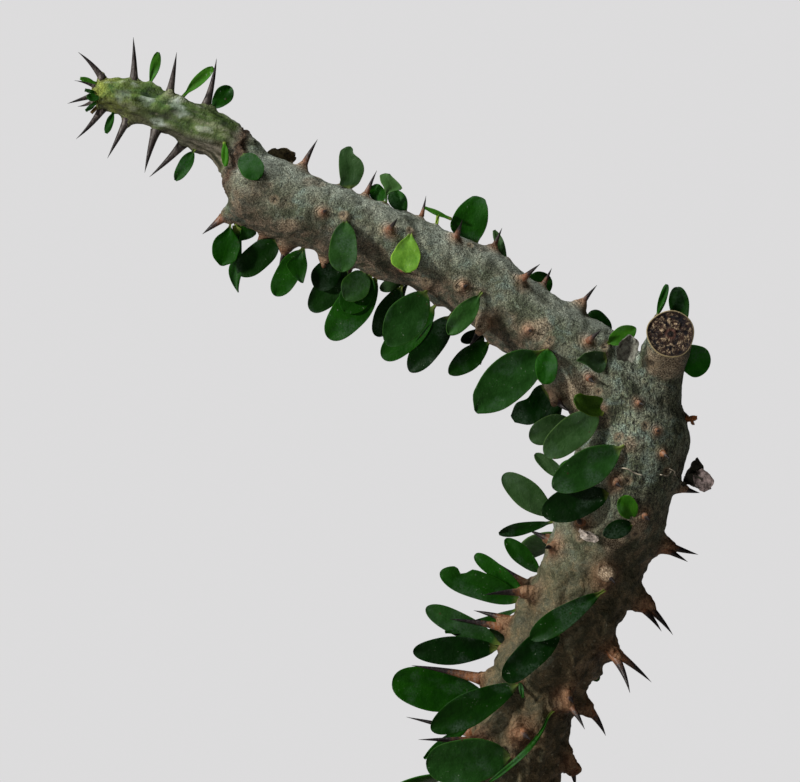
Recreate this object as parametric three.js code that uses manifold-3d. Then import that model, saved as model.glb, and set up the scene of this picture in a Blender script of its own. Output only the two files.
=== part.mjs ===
// A bent, thorny Madagascar ocotillo in a plain clay pot, in millimetres, +Z up.
// The origin is the middle of the pot's foot. The front of the plant looks towards -Y.
import * as THREE from "three";
import { mergeVertices } from "three/addons/utils/BufferGeometryUtils.js";
import Module from "manifold-3d";

const wasm = await Module();
wasm.setup();

// Driving dimensions
const POT_HEIGHT = 150;
const POT_RIM_RADIUS = 85;
const POT_FOOT_RADIUS = 58;
const POT_WALL = 7;
const RIM_BAND_HEIGHT = 30;
const RIM_BAND_STEP = 4;
const DRAIN_RADIUS = 7;
const SOIL_BELOW_RIM = 14;
const SOIL_CROWN = 2.5;
const LEAF_THICKNESS = 1.2;
const PETIOLE_RADIUS = 0.55;
const SEAT_GAP = 0.3;

// How finely round things are cut
const POT_SIDES = 48;
const STEM_SIDES = 12;
const SPINE_SIDES = 5;
const ROOT_SIDES = 6;

// Which side of the stem a leaf or spine stands on, seen from the front
const FRONT = -1;
const BACK = 1;

// Colours
const CLAY = 0xb5663f;
const SOIL = 0x3b2f26;
const BARK = 0x7d7c6b;
const LEAF_GREEN = 0x2c5423;
const YOUNG_GREEN = 0x6d9a35;
const DRIED = 0x6b5a4a;

// The centreline of each length of stem, each row [x, y, z, radius]
const TRUNK_AND_ARM = [
  [3, 2, 98, 4],
  [3.5, 2.5, 112, 10],
  [4, 3, 128, 13.4],
  [5, 4, 145, 13],
  [8, 6, 165, 12.4],
  [12.5, 8, 185, 12],
  [18, 9.5, 205, 11.9],
  [24, 10, 223, 12],
  [31.5, 9, 244, 12.4],
  [38.5, 7.5, 258, 12.8],
  [46, 6, 271, 12.9],
  [52.5, 3.5, 288, 13],
  [56.5, 1.5, 304, 13],
  [56.5, 0.8, 315, 12.6],
  [52.5, 0.5, 324, 11.4],
  [46, 0.3, 330.5, 10.2],
  [37, 0, 336.5, 9.5],
  [25, -1, 345, 8.8],
  [12.5, -2, 352.5, 8.5],
  [0, -3, 358.5, 8.6],
  [-12.5, -4, 364, 8.9],
  [-25, -5, 368.5, 9.1],
  [-33, -5.5, 371, 8.9],
  [-38.5, -6, 372.5, 7.4],
  [-41.5, -6, 373, 4.4],
];
const NEW_GROWTH = [
  [-30, -5, 374, 4.6],
  [-37, -5, 379.5, 4.6],
  [-42, -4.8, 384, 4.6],
  [-47.5, -4.5, 387.5, 5.1],
  [-52.5, -4.2, 390.2, 5],
  [-57.5, -4, 392.6, 5],
  [-62.5, -3.8, 394.4, 4.9],
  [-67.5, -3.6, 395.7, 4.6],
  [-72, -3.5, 396.5, 3.9],
  [-75, -3.5, 396.6, 2.6],
  [-76.4, -3.5, 396.5, 1.3],
];
const PRUNED_STUB = [
  [57.5, 2, 313, 10],
  [60.5, 0.5, 319.5, 8.8],
  [64, -3, 325.5, 6.8],
  [65.6, -6.5, 330, 5.9],
  [66.8, -10.5, 334.3, 5.8],
  [67.4, -15, 337.1, 5.9],
];
const ROOTS = [
  [[4, 3, 118, 5], [20, 6, 98, 3.2], [38, 10, 74, 2], [44, 16, 50, 1]],
  [[3, 4, 116, 5], [-8, 18, 96, 3], [-16, 34, 72, 2], [-20, 40, 46, 1]],
  [[3, 1, 114, 5], [-10, -12, 92, 3.2], [-26, -24, 68, 2], [-34, -30, 44, 1]],
  [[4, 0, 110, 5], [10, -16, 86, 3], [18, -32, 60, 2], [20, -40, 38, 1]],
  [[3, 2, 104, 5], [2, 4, 80, 3.4], [5, 2, 52, 2], [3, 5, 28, 1]],
];

// Spines by eye from the front: [base x, base z, tip x, tip z, side, lean, swelling].
// Lean is how far the tip stands before (-) or behind (+) the base; swelling is the bump's radius.
const NEW_SPINES = [
  [-74, 400, -80.2, 407.5, FRONT, -1, 2],
  [-66.5, 399, -66.5, 411, FRONT, -1, 2.6],
  [-57, 396.5, -55.5, 407.2, FRONT, -2, 2.6],
  [-48, 392, -45.8, 405.5, BACK, 1, 2.8],
  [-73, 393.5, -80.5, 385.5, FRONT, -2, 2],
  [-66.5, 391.5, -72.5, 381, FRONT, 0, 2.6],
  [-59.5, 389, -63.5, 377.5, FRONT, -2, 2.8],
  [-51, 386, -62.8, 376.5, BACK, 1, 2.8],
  [-75.5, 396, -82.8, 394.2, FRONT, -2, 1.4],
  [-75, 395, -81, 394.2, BACK, 4, 1.4],
  [-75, 398, -81.2, 400, BACK, 3, 1.4],
  [-46.5, 386, -42.5, 384.8, FRONT, -5, 2.2],
  [-57, 393, -56, 392.8, FRONT, -8, 2.4],
  [-70, 396.5, -70.5, 396, FRONT, -6, 1.8],
];
const ARM_SPINES = [
  [-25, 377, -20.5, 385.5, FRONT, 0, 3],
  [-14.8, 372, -14.5, 376.5, BACK, 3, 2],
  [-8.5, 371, -6.2, 377.5, FRONT, -1, 2.6],
  [5, 366, 6, 371.5, BACK, 1, 2.6],
  [13.2, 360, 15.2, 366, FRONT, -4, 2.4],
  [23, 356.5, 25.5, 363.5, FRONT, 0, 3],
  [29, 350, 34.2, 354, FRONT, -4, 2.8],
  [35, 347.5, 37.5, 353.2, BACK, 3, 2.4],
  [43.5, 342, 49.2, 349.5, FRONT, -1, 3.6],
  [45.5, 334, 49.2, 337.2, FRONT, -4, 2.8],
  [-3, 363, -0.5, 365.2, FRONT, -5, 2.6],
  [-19.2, 367, -18.2, 367.5, FRONT, -4, 2.2],
  [15.8, 349.5, 16.6, 350, FRONT, -3.5, 2.4],
  [31.8, 336.8, 33.2, 336.2, FRONT, -4, 2.6],
  [1.2, 350.8, 2.8, 350.5, FRONT, -3, 2],
  [-9.5, 355.5, -10.8, 353.6, FRONT, -3, 2.4],
  [-42, 367.5, -49.2, 362, FRONT, 0, 3.4],
  [-27.8, 361, -30.2, 353.5, FRONT, 0, 3.4],
  [-18.5, 357.5, -19.8, 353.2, FRONT, -1, 2.8],
  [-12, 355, -13, 350.2, BACK, 2, 2.4],
  [-34.5, 363, -36.2, 358.6, BACK, 3, 2.4],
  [20, 341, 16.6, 333.8, FRONT, -2, 4],
  [40, 325, 42.6, 317.2, FRONT, -3, 3.2],
  [-1, 351, -4.8, 348.2, BACK, 2, 2.2],
];
const TRUNK_SPINES = [
  [46.2, 324, 47, 323.4, FRONT, -4.5, 2.4],
  [58.2, 320.5, 59.8, 319.6, FRONT, -4.5, 2.6],
  [53, 312, 53.8, 312.8, FRONT, -4, 2.6],
  [63.5, 312.6, 64, 313.4, FRONT, -3.5, 2.4],
  [65, 307.6, 67, 306.2, FRONT, -5, 2.6],
  [53.2, 299.5, 54.8, 301, FRONT, -5, 3],
  [60, 290.5, 62, 292, FRONT, -6, 3.2],
  [44.5, 290.5, 43, 291.5, FRONT, -5, 3],
  [69, 316, 74, 317, FRONT, 0, 1.8],
  [69, 299.5, 73.6, 297.2, FRONT, -1, 2.6],
  [65, 283.8, 74.8, 281.8, FRONT, 1, 4],
  [65, 283.2, 71.8, 280.4, FRONT, -3, 3.4],
  [58, 270.2, 68.2, 262, FRONT, 1, 4],
  [58, 269.6, 65.8, 262.4, FRONT, -3, 3.6],
  [50.5, 258, 57.8, 247.5, FRONT, -5, 4],
  [51, 258, 63.2, 249.8, FRONT, 1, 4],
  [42, 245, 51.8, 236.2, FRONT, 1, 4],
  [41.5, 244, 45.8, 238.6, FRONT, -4, 3.4],
  [35, 231, 43.8, 222, FRONT, 1, 4],
  [52, 278.5, 53.2, 277, FRONT, -7, 4.4],
  [41.5, 247.5, 43.6, 245, FRONT, -6, 4.2],
  [31, 236, 33, 234.4, FRONT, -6, 4.2],
  [38.5, 282, 32.2, 287.2, BACK, 1, 3.2],
  [39, 281.6, 35.2, 281.4, FRONT, -6, 3.2],
  [33, 274.5, 23, 280.8, BACK, 2, 3.8],
  [33, 271, 20.8, 272, FRONT, -4, 3.6],
  [26.5, 263.6, 18.2, 267.6, BACK, 5, 3.4],
  [26.5, 262.8, 15.8, 265.4, FRONT, -2, 3.6],
  [21, 251, 5, 254.2, FRONT, 1, 4],
  [17.5, 236, 1.8, 240.2, BACK, 3, 3.8],
  [18, 235.4, 4.8, 236, FRONT, -3, 3.8],
];

// Spines on the sides that the front hides: [centreline station, angle round the stem, length].
// Station counts the rows of TRUNK_AND_ARM; angle 0 is the stem's outer side and 90 is its back.
const ROUND_SPINES = [
  [3.7, 20, 13], [3.8, 160, 12], [4.1, 285, 12], [4.4, 80, 13], [4.9, 205, 13], [5.3, 330, 12],
  [5.8, 120, 13], [6.3, 20, 12], [6.8, 80, 13], [7.8, 115, 12], [8.8, 65, 12], [9.8, 110, 11],
  [10.8, 70, 11], [12.0, 110, 10], [14.0, 70, 9], [16.0, 110, 8], [18.0, 70, 8], [20.2, 110, 8],
];

// Leaves by eye from the front:
// [name, base x, base z, tip x, tip z, width, side, lean, roll in degrees, bend].
const LEAVES = [
  ["leaf_tip_1", -62.5, 400, -60, 407.2, 4.2, FRONT, -1, 58, 0.3],
  ["leaf_tip_2", -54.2, 396.5, -46.4, 403, 4.4, FRONT, -3, 52, 0.8],
  ["leaf_tip_3", -46, 393.6, -42.2, 398.6, 4.6, BACK, 3, 20, 0.3],
  ["leaf_tip_4", -70.8, 392, -73.2, 387, 3, FRONT, -1, 60, 0.2],
  ["leaf_tip_5", -51.5, 383, -55.8, 375.2, 4.2, BACK, 3, 35, 0.4],
  ["leaf_tip_6", -43.5, 384.5, -43.5, 378.4, 3.2, FRONT, -3, 50, 0.3],
  ["leaf_arm_1", -39.5, 382, -35, 375.2, 5.6, FRONT, -3, 5, 0.4],
  ["leaf_arm_2", -42.2, 364, -45.4, 353.8, 7, FRONT, -5, 8, 0.6],
  ["leaf_arm_3", -40, 363, -40.4, 347.2, 5.4, BACK, 3, 35, 1.2],
  ["leaf_arm_4", -30.5, 362, -40.4, 352, 7.2, BACK, 4, 8, 0.6],
  ["leaf_arm_5", -24.4, 359.5, -24.6, 349.8, 5.6, FRONT, -4, 5, 0.4],
  ["leaf_arm_6", -25.6, 358.6, -31.4, 346.8, 6.4, BACK, 0, 5, 0.5],
  ["leaf_arm_7", -16.2, 357, -21.6, 347.4, 6.6, FRONT, -2, 5, 0.4],
  ["leaf_arm_8", -15, 356, -22.2, 342.8, 6.4, BACK, 4, 5, 0.5],
  ["leaf_arm_9", -13.8, 366.2, -14.5, 352.4, 7.2, FRONT, -3, 0, 0.6],
  ["leaf_arm_10", -9.2, 355, -12.2, 343.4, 7.6, FRONT, -3, 5, 0.5],
  ["leaf_arm_11", -7.5, 354, -16.6, 335.8, 9.6, BACK, 1, 5, 0.8],
  ["leaf_arm_12", 0.8, 350.5, -5.8, 336.6, 6.2, BACK, 5, 10, 0.5],
  ["leaf_arm_13", 6.5, 348.8, -2.4, 333.6, 9.6, FRONT, -3, 0, 0.8],
  ["leaf_arm_14", 7.4, 347, -3.6, 331, 8.6, FRONT, 3, 5, 0.6],
  ["leaf_arm_15", 12.2, 344.4, 3.2, 327.6, 7.4, BACK, 3, 8, 0.6],
  ["leaf_arm_16", 20.2, 347.2, 12.2, 337.2, 6.2, FRONT, -3, 5, 0.5],
  ["leaf_arm_17", 22.2, 337, 12.4, 326.8, 6.2, FRONT, 0, 10, 0.6],
  ["leaf_arm_18", 37, 334, 18.2, 318.4, 12.6, FRONT, -3, 3, 1],
  ["leaf_arm_19", 38, 335.4, 35.8, 324.4, 5.6, FRONT, -5, 5, 0.4],
  ["leaf_arm_20", 2.8, 362.2, 0.8, 351.8, 7.6, FRONT, -3.5, 0, 0.3],
  ["leaf_arm_21", -11.8, 372, -13.2, 383.8, 6.8, BACK, 4, 5, 0.5],
  ["leaf_arm_22", -3.2, 370, -1.6, 376.6, 5.8, FRONT, -4, 25, 0.5],
  ["leaf_arm_23", 18.2, 358, 19.8, 371.6, 9.8, BACK, 3, 0, 0.6],
  ["leaf_arm_24", 27.6, 353.6, 23.2, 363, 5, BACK, 3, 62, 0.4],
  ["leaf_arm_25", 31.6, 349.4, 38, 347.6, 5.2, FRONT, -5, 20, 0.3],
  ["leaf_elbow_1", 51.4, 335.4, 48, 342.2, 3.8, BACK, 3, 20, 0.3],
  ["leaf_elbow_2", 51.2, 335.4, 58.8, 338.8, 4.8, FRONT, -3, 20, 0.5],
  ["leaf_elbow_3", 51, 332.2, 44, 330.2, 5.4, FRONT, -4, 15, 0.5],
  ["leaf_elbow_4", 50.2, 321.2, 43, 319.2, 5.8, FRONT, -5, 10, 0.3],
  ["leaf_elbow_5", 49.5, 317.4, 35.8, 307.4, 9.6, FRONT, -2, 5, 0.8],
  ["leaf_elbow_6", 39, 326.4, 28.2, 316, 6.4, BACK, 1, 5, 0.5],
  ["leaf_elbow_7", 42.4, 315.6, 32.8, 311.4, 6.2, BACK, 3, 10, 0.5],
  ["leaf_elbow_8", 63.6, 333.5, 66.5, 349, 6, BACK, 4, 72, 0.6],
  ["leaf_elbow_9", 67.5, 332.5, 77.2, 327.6, 8.4, BACK, 4, 10, 0.5],
  ["leaf_trunk_1", 55.2, 309, 37.8, 298.8, 9.6, FRONT, -5, 5, 0.8],
  ["leaf_trunk_2", 51.6, 297.4, 35.2, 292.4, 8, FRONT, -1, 8, 0.6],
  ["leaf_trunk_3", 41.6, 291.5, 26.4, 302.6, 7, BACK, 5, 8, 0.6],
  ["leaf_trunk_4", 40, 289.5, 24.8, 287.8, 6.4, FRONT, -2, 55, 0.8],
  ["leaf_trunk_5", 35.8, 277, 26.2, 285.8, 6, BACK, 2, 38, 0.5],
  ["leaf_trunk_6", 59.2, 292.2, 54.8, 296.6, 5.4, FRONT, -4, 10, 0.3],
  ["leaf_trunk_7", 58.5, 290.6, 50.2, 287.8, 4.8, FRONT, -3, 15, 0.4],
  ["leaf_trunk_8", 51, 272.8, 33.6, 259.4, 9, FRONT, -7, 30, 1.2],
  ["leaf_trunk_9", 31, 270.4, 10.2, 276.2, 7.8, BACK, 2, 5, 1],
  ["leaf_trunk_10", 25, 260, 3.2, 257.2, 7.2, FRONT, 0, 5, 0.8],
  ["leaf_trunk_11", 22.5, 246, -1.8, 249, 11, BACK, 3, 5, 0.8],
  ["leaf_trunk_12", 29.8, 250, 8.2, 238.6, 8.6, FRONT, -5, 12, 1],
  ["leaf_base_1", 28, 232.4, 7, 227.4, 10.8, FRONT, -5, 8, 0.8],
  ["leaf_base_2", 5, 185, -12, 194, 8.4, FRONT, -1, 10, 0.8],
];

// Withered leaves still held by the stem, given as the leaves are
const DRIED_LEAVES = [
  ["dried_leaf_elbow", 56.4, 331.5, 60, 338, 4.6, FRONT, -1, 15, 0.8],
  ["dried_leaf_side", 70.6, 300.5, 78, 301.6, 6, FRONT, 0, 10, 1.2],
  ["dried_leaf_arm", -27.6, 379.2, -34.6, 383, 4.4, BACK, 2, 20, 1],
];

const vector = (x, y, z) => new THREE.Vector3(x, y, z);
const lerp = THREE.MathUtils.lerp;

// A closed three.js geometry as a manifold solid.
function solidOf(geometry) {
  const bare = geometry.clone();
  bare.deleteAttribute("normal");
  bare.deleteAttribute("uv");
  const merged = mergeVertices(bare, 1e-4);
  return new wasm.Manifold(
    new wasm.Mesh({
      numProp: 3,
      vertProperties: new Float32Array(merged.attributes.position.array),
      triVerts: new Uint32Array(merged.index.array),
    }),
  );
}

// A manifold solid as a three.js geometry.
function geometryOf(solid) {
  const mesh = solid.getMesh();
  const geometry = new THREE.BufferGeometry();
  geometry.setAttribute("position", new THREE.BufferAttribute(mesh.vertProperties, 3));
  geometry.setIndex(new THREE.BufferAttribute(mesh.triVerts, 1));
  geometry.computeVertexNormals();
  return geometry;
}

// Closed skin over rings of points, drawn to a point at each end.
function skin(start, rings, end) {
  const points = [start, ...rings.flat(), end];
  const sides = rings[0].length;
  const last = points.length - 1;
  const faces = [];
  for (let k = 0; k < sides; k++) {
    const next = (k + 1) % sides;
    faces.push(0, 1 + next, 1 + k);
    for (let i = 0; i < rings.length - 1; i++) {
      const low = 1 + i * sides;
      const high = low + sides;
      faces.push(low + k, low + next, high + next, low + k, high + next, high + k);
    }
    const top = last - sides;
    faces.push(top + k, top + next, last);
  }
  const geometry = new THREE.BufferGeometry();
  geometry.setAttribute(
    "position",
    new THREE.BufferAttribute(new Float32Array(points.flatMap((p) => p.toArray())), 3),
  );
  geometry.setIndex(faces);
  return geometry;
}

// A point on a centreline, with its radius and the two directions across it.
// Station 0 is the first row, 1 the second, and so on between them.
function stationOf(rows, station) {
  const curve = new THREE.CatmullRomCurve3(rows.map(([x, y, z]) => vector(x, y, z)));
  const whole = Math.min(Math.floor(station), rows.length - 2);
  const share = station - whole;
  const at = station / (rows.length - 1);
  const along = curve.getTangent(at);
  const outer = vector(0, 1, 0).cross(along).normalize();
  return {
    point: curve.getPoint(at),
    radius: lerp(rows[whole][3], rows[whole + 1][3], share),
    along,
    outer,
    back: along.clone().cross(outer).normalize(),
  };
}

// A round limb along a centreline, a little out of round as a grown stem is.
function limb(rows, sides, stepsPerRow, extraRadius = 0, unevenness = 0.035) {
  const count = (rows.length - 1) * stepsPerRow;
  const rings = [];
  for (let i = 0; i <= count; i++) {
    const s = stationOf(rows, i / stepsPerRow);
    const ring = [];
    for (let k = 0; k < sides; k++) {
      const angle = (2 * Math.PI * k) / sides;
      const swell = 1 + unevenness * (Math.sin(2 * angle + i) + Math.sin(3 * angle - 0.7 * i));
      const radius = s.radius * swell + extraRadius;
      ring.push(
        s.point
          .clone()
          .addScaledVector(s.outer, radius * Math.cos(angle))
          .addScaledVector(s.back, radius * Math.sin(angle)),
      );
    }
    rings.push(ring);
  }
  const start = stationOf(rows, 0);
  const end = stationOf(rows, rows.length - 1);
  const startPoint = start.point.clone().addScaledVector(start.along, -extraRadius);
  const endPoint = end.point.clone().addScaledVector(end.along, extraRadius);
  return skin(startPoint, rings, endPoint);
}

// Points along every stem, for finding where a leaf or spine stands.
const STEM_STATIONS = [TRUNK_AND_ARM, NEW_GROWTH, PRUNED_STUB].flatMap((rows) => {
  const stations = [];
  for (let s = 0; s <= rows.length - 1; s += 0.1) stations.push(stationOf(rows, s));
  return stations;
});

// The stem's surface at [x, z] seen from the front, on the given side, and the way out from it.
function surfaceAt(x, z, side) {
  const depthOf = (s) => s.radius - Math.hypot(x - s.point.x, z - s.point.z);
  const s = STEM_STATIONS.reduce((best, next) => (depthOf(next) > depthOf(best) ? next : best));
  const across = Math.hypot(x - s.point.x, z - s.point.z);
  const depth = Math.sqrt(Math.max(0, s.radius ** 2 - across ** 2));
  const out = vector(x - s.point.x, side * depth, z - s.point.z).normalize();
  return { point: s.point.clone().addScaledVector(out, s.radius), out };
}

// One spine on its swollen base, from a point on the stem to its tip.
function spine(base, tip, swelling) {
  const length = base.distanceTo(tip);
  const bump = Math.min(0.42 * length, 1.15 * swelling);
  const shank = 0.3 * swelling;
  const profile = [
    new THREE.Vector2(0, -swelling),
    new THREE.Vector2(swelling, -0.6 * swelling),
    new THREE.Vector2(0.62 * swelling, 0.4 * bump),
    new THREE.Vector2(shank, bump),
    new THREE.Vector2(0, length),
  ];
  const geometry = new THREE.LatheGeometry(profile, SPINE_SIDES);
  const turn = new THREE.Quaternion().setFromUnitVectors(
    vector(0, 1, 0),
    tip.clone().sub(base).normalize(),
  );
  geometry.applyQuaternion(turn);
  geometry.translate(base.x, base.y, base.z);
  return solidOf(geometry);
}

function spineFromFront([baseX, baseZ, tipX, tipZ, side, lean, swelling]) {
  const { point } = surfaceAt(baseX, baseZ, side);
  return spine(point, vector(tipX, point.y + lean, tipZ), swelling);
}

function spineRound([station, degrees, length]) {
  const s = stationOf(TRUNK_AND_ARM, station);
  const angle = THREE.MathUtils.degToRad(degrees);
  const out = s.outer
    .clone()
    .multiplyScalar(Math.cos(angle))
    .addScaledVector(s.back, Math.sin(angle));
  const base = s.point.clone().addScaledVector(out, s.radius);
  const droop = s.along.clone().multiplyScalar(-0.25);
  const tip = base.clone().addScaledVector(out.clone().add(droop).normalize(), length);
  return spine(base, tip, 0.3 * length);
}

// The whole grown plant without its leaves: roots, trunk, arm, pruned stub, new growth, spines.
function buildStem() {
  const wood = [
    limb(TRUNK_AND_ARM, STEM_SIDES, 2),
    limb(NEW_GROWTH, STEM_SIDES - 4, 2),
    limb(PRUNED_STUB, STEM_SIDES - 2, 2),
    ...ROOTS.map((rows) => limb(rows, ROOT_SIDES, 2)),
  ].map(solidOf);
  const spines = [
    ...[...NEW_SPINES, ...ARM_SPINES, ...TRUNK_SPINES].map(spineFromFront),
    ...ROUND_SPINES.map(spineRound),
  ];
  return wasm.Manifold.union([...wood, ...spines]);
}

// Half the width of a leaf at a share of its length: a short stalk, then an egg shape.
function halfWidth(share, width) {
  const blade = (width / 2) * Math.sin(Math.PI * share ** 1.3) ** 0.72;
  return Math.max(blade, PETIOLE_RADIUS);
}

// A flat, slightly bent leaf from base to tip. Roll turns it about its own length.
function leafGeometry(base, tip, width, roll, bend) {
  const axis = tip.clone().sub(base).normalize();
  const towardsFront = vector(0, -1, 0).addScaledVector(axis, axis.y).normalize();
  const across = towardsFront.clone().cross(axis);
  const side = across.applyAxisAngle(axis, THREE.MathUtils.degToRad(roll));
  const face = axis.clone().cross(side);
  const shares = [0.04, 0.2, 0.42, 0.65, 0.85, 0.96];
  const rings = shares.map((share) => {
    const half = halfWidth(share, width);
    const centre = base.clone().lerp(tip, share);
    centre.addScaledVector(face, bend * 4 * share * (1 - share));
    const thick = Math.min(LEAF_THICKNESS / 2, half);
    const corners = [[1, 0], [0, 1], [-1, 0], [0, -1]];
    return corners.map(([wide, high]) =>
      centre
        .clone()
        .addScaledVector(side, wide * half)
        .addScaledVector(face, high * thick),
    );
  });
  return skin(base, rings, tip);
}

// Swings a leaf's tip away from the stem, and then its base, until all of it stands just clear.
function seatLeaf([, baseX, baseZ, tipX, tipZ, width, side, lean, roll, bend], stem) {
  const seat = surfaceAt(baseX, baseZ, side);
  const mostLift = 3;
  const mostSwing = 12;
  for (let lift = 0; lift <= mostLift; lift += 0.15) {
    const base = seat.point.clone().addScaledVector(seat.out, lift);
    for (let swing = 0; swing <= mostSwing; swing += 1) {
      const tip = vector(tipX, seat.point.y + lean + side * swing, tipZ);
      const leaf = solidOf(leafGeometry(base, tip, width, roll, bend));
      if (stem.minGap(leaf, 1) >= SEAT_GAP) return leaf;
    }
  }
  throw new Error("a leaf finds no clear seat near " + [baseX, baseZ]);
}

const soilHeight = POT_HEIGHT - SOIL_BELOW_RIM;
const outerRadius = (z) => lerp(POT_FOOT_RADIUS, POT_RIM_RADIUS - RIM_BAND_STEP, z / POT_HEIGHT);
const innerRadius = (z) => outerRadius(z) - POT_WALL;

// A closed outline of [radius, height] points turned about the pot's axis.
function turned(outline) {
  const points = outline.map(([radius, height]) => new THREE.Vector2(radius, height));
  const geometry = new THREE.LatheGeometry(points, POT_SIDES);
  geometry.rotateX(Math.PI / 2);
  return geometry;
}

function buildPot() {
  const bandBottom = POT_HEIGHT - RIM_BAND_HEIGHT;
  const chamfer = 2;
  return turned([
    [DRAIN_RADIUS, 0],
    [POT_FOOT_RADIUS - chamfer, 0],
    [POT_FOOT_RADIUS, chamfer],
    [outerRadius(bandBottom), bandBottom],
    [outerRadius(bandBottom) + RIM_BAND_STEP, bandBottom + chamfer],
    [POT_RIM_RADIUS, POT_HEIGHT - chamfer],
    [POT_RIM_RADIUS - chamfer, POT_HEIGHT],
    [innerRadius(POT_HEIGHT) + chamfer, POT_HEIGHT],
    [innerRadius(POT_HEIGHT), POT_HEIGHT - chamfer],
    [innerRadius(POT_WALL + chamfer), POT_WALL + chamfer],
    [innerRadius(POT_WALL) - chamfer, POT_WALL],
    [DRAIN_RADIUS, POT_WALL],
    [DRAIN_RADIUS, 0],
  ]);
}

// The potting mix, with a socket for the buried stem and each root.
function buildSoil() {
  const bottom = POT_WALL + SEAT_GAP;
  const shoulder = POT_WALL + 2 * SEAT_GAP + 2;
  const mix = solidOf(
    turned([
      [0, bottom],
      [innerRadius(bottom) - 3, bottom],
      [innerRadius(shoulder) - SEAT_GAP, shoulder],
      [innerRadius(soilHeight) - SEAT_GAP, soilHeight],
      [0.5 * innerRadius(soilHeight), soilHeight + 0.75 * SOIL_CROWN],
      [0, soilHeight + SOIL_CROWN],
    ]),
  );
  const sockets = [
    limb(TRUNK_AND_ARM.slice(0, 5), STEM_SIDES, 2, 2 * SEAT_GAP),
    ...ROOTS.map((rows) => limb(rows, ROOT_SIDES, 2, 2 * SEAT_GAP)),
  ].map(solidOf);
  return mix.subtract(wasm.Manifold.union(sockets));
}

// The parts, each a named mesh
const plant = new THREE.Group();

function addPart(name, geometry, color, roughness) {
  const material = new THREE.MeshStandardMaterial({ color, roughness, metalness: 0 });
  const mesh = new THREE.Mesh(geometry, material);
  mesh.name = name;
  plant.add(mesh);
}

const stem = buildStem();
addPart("pot", buildPot(), CLAY, 0.85);
addPart("potting_mix", geometryOf(buildSoil()), SOIL, 0.95);
addPart("stem", geometryOf(stem), BARK, 0.8);
for (const row of LEAVES) {
  const colour = row[0] === "leaf_arm_20" ? YOUNG_GREEN : LEAF_GREEN;
  addPart(row[0], geometryOf(seatLeaf(row, stem)), colour, 0.45);
}
for (const row of DRIED_LEAVES) {
  addPart(row[0], geometryOf(seatLeaf(row, stem)), DRIED, 0.9);
}

export default plant;
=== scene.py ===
"""A Madagascar ocotillo in a clay pot: a bent thorny stem with small round leaves.

Sizes in the tables are millimetres, with +Z up and the front of the plant towards -Y.
"""

import math
from collections import namedtuple
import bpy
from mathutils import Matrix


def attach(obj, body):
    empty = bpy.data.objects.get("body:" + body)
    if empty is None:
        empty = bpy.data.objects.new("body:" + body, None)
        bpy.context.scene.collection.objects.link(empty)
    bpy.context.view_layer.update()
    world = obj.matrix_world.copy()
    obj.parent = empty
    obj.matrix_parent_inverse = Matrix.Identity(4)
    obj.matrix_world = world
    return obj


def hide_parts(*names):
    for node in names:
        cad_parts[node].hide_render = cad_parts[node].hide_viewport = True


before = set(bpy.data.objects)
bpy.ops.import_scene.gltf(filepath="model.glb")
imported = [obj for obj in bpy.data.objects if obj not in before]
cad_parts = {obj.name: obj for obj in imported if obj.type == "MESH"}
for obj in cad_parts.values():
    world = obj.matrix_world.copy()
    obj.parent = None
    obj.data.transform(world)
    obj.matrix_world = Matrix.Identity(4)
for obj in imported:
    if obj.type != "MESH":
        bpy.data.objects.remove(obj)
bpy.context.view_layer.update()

from types import SimpleNamespace

import bmesh
import bpy
import numpy as np
from mathutils import Euler, Matrix, Vector, noise

# Camera: it looks along +Y at the height VIEW_Z from EYE millimetres in front of the plant.
EYE = 1600.0
VIEW_Z = 322.75
VIEW_WIDTH = 200.0
SENSOR = 36

# Lamps shine on this place, in metres; the floor is in millimetres
LAMP_TARGET = (0, 0, 0.32)
FLOOR_RADIUS = 1500
FLOOR_Z = -0.5

# Which side of the stem something stands on, seen from the front. A HELD one starts just where
# its row says, not on the bark.
FRONT, EDGE, BACK, HELD = -1, 0, 1, 2
TO_VIEWER = np.array([0.0, -1, 0])

# Stem
BARK_VOXEL = 0.67
BARK_SMOOTHING = 3
FILLET_SMOOTHING = 14

# Ring where the new growth starts: a place on it, how it leans, and where its side of the arm ends
RING_X, RING_Z = -41, 380.5
RING_LEAN = 0.38
RING_END_X, RING_LOW_Z = -36, 367

# Where the bark changes along x or z, from none of it to all of it
RUGGED_Z = (300, 250)
LOW_Z = (302, 262)
GROOVED_Z, GROOVED_X = (272, 300), (48, 56)
WOODY_X = (-60, -44)
FRESH_X = (-62, -75)

CUSHION_LENGTH = 13
CUT_RADIUS = 5.95
CUT_FACING = (0.06, -0.96, 0.2)

# Centrelines, each row [x, y, z, radius]
TRUNK = [
    (3, 2, 104, 7), (3.5, 2.5, 114, 12), (4, 3, 128, 13.6), (5, 4, 145, 13.2),
    (8, 6, 165, 12.6), (12.5, 8, 185, 12.2), (18, 9.5, 205, 12), (26, 10, 224, 11.9),
    (28.2, 9.6, 231, 11.8), (33, 8.6, 245.5, 11.9), (38, 7.5, 256, 12.2), (43, 6.4, 266, 12.4),
    (48.8, 4.8, 280.5, 12.7), (52.8, 3.5, 290.5, 13), (56.4, 2.2, 301, 13.4), (58.4, 1.2, 309, 13.3),
    (59, 0.8, 316, 12.2), (58.4, 0.8, 322, 9.5),
]
ARM = [
    (60, 1.2, 312, 11), (56, 1, 319.5, 12), (50, 0.5, 326, 11.5), (40, 0, 334.1, 10.2),
    (30, -0.6, 341.8, 9.3), (20, -1.3, 348.8, 9), (10, -2.1, 354, 8.8), (0, -3, 358.8, 8.6),
    (-12.5, -4, 363.5, 8.5), (-25, -5, 368.6, 8.9), (-34, -5.6, 371.6, 9.1), (-39, -6, 372.4, 8.4),
    (-41.6, -6, 371.9, 7.3), (-43, -6, 371.5, 5.6),
]
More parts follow.
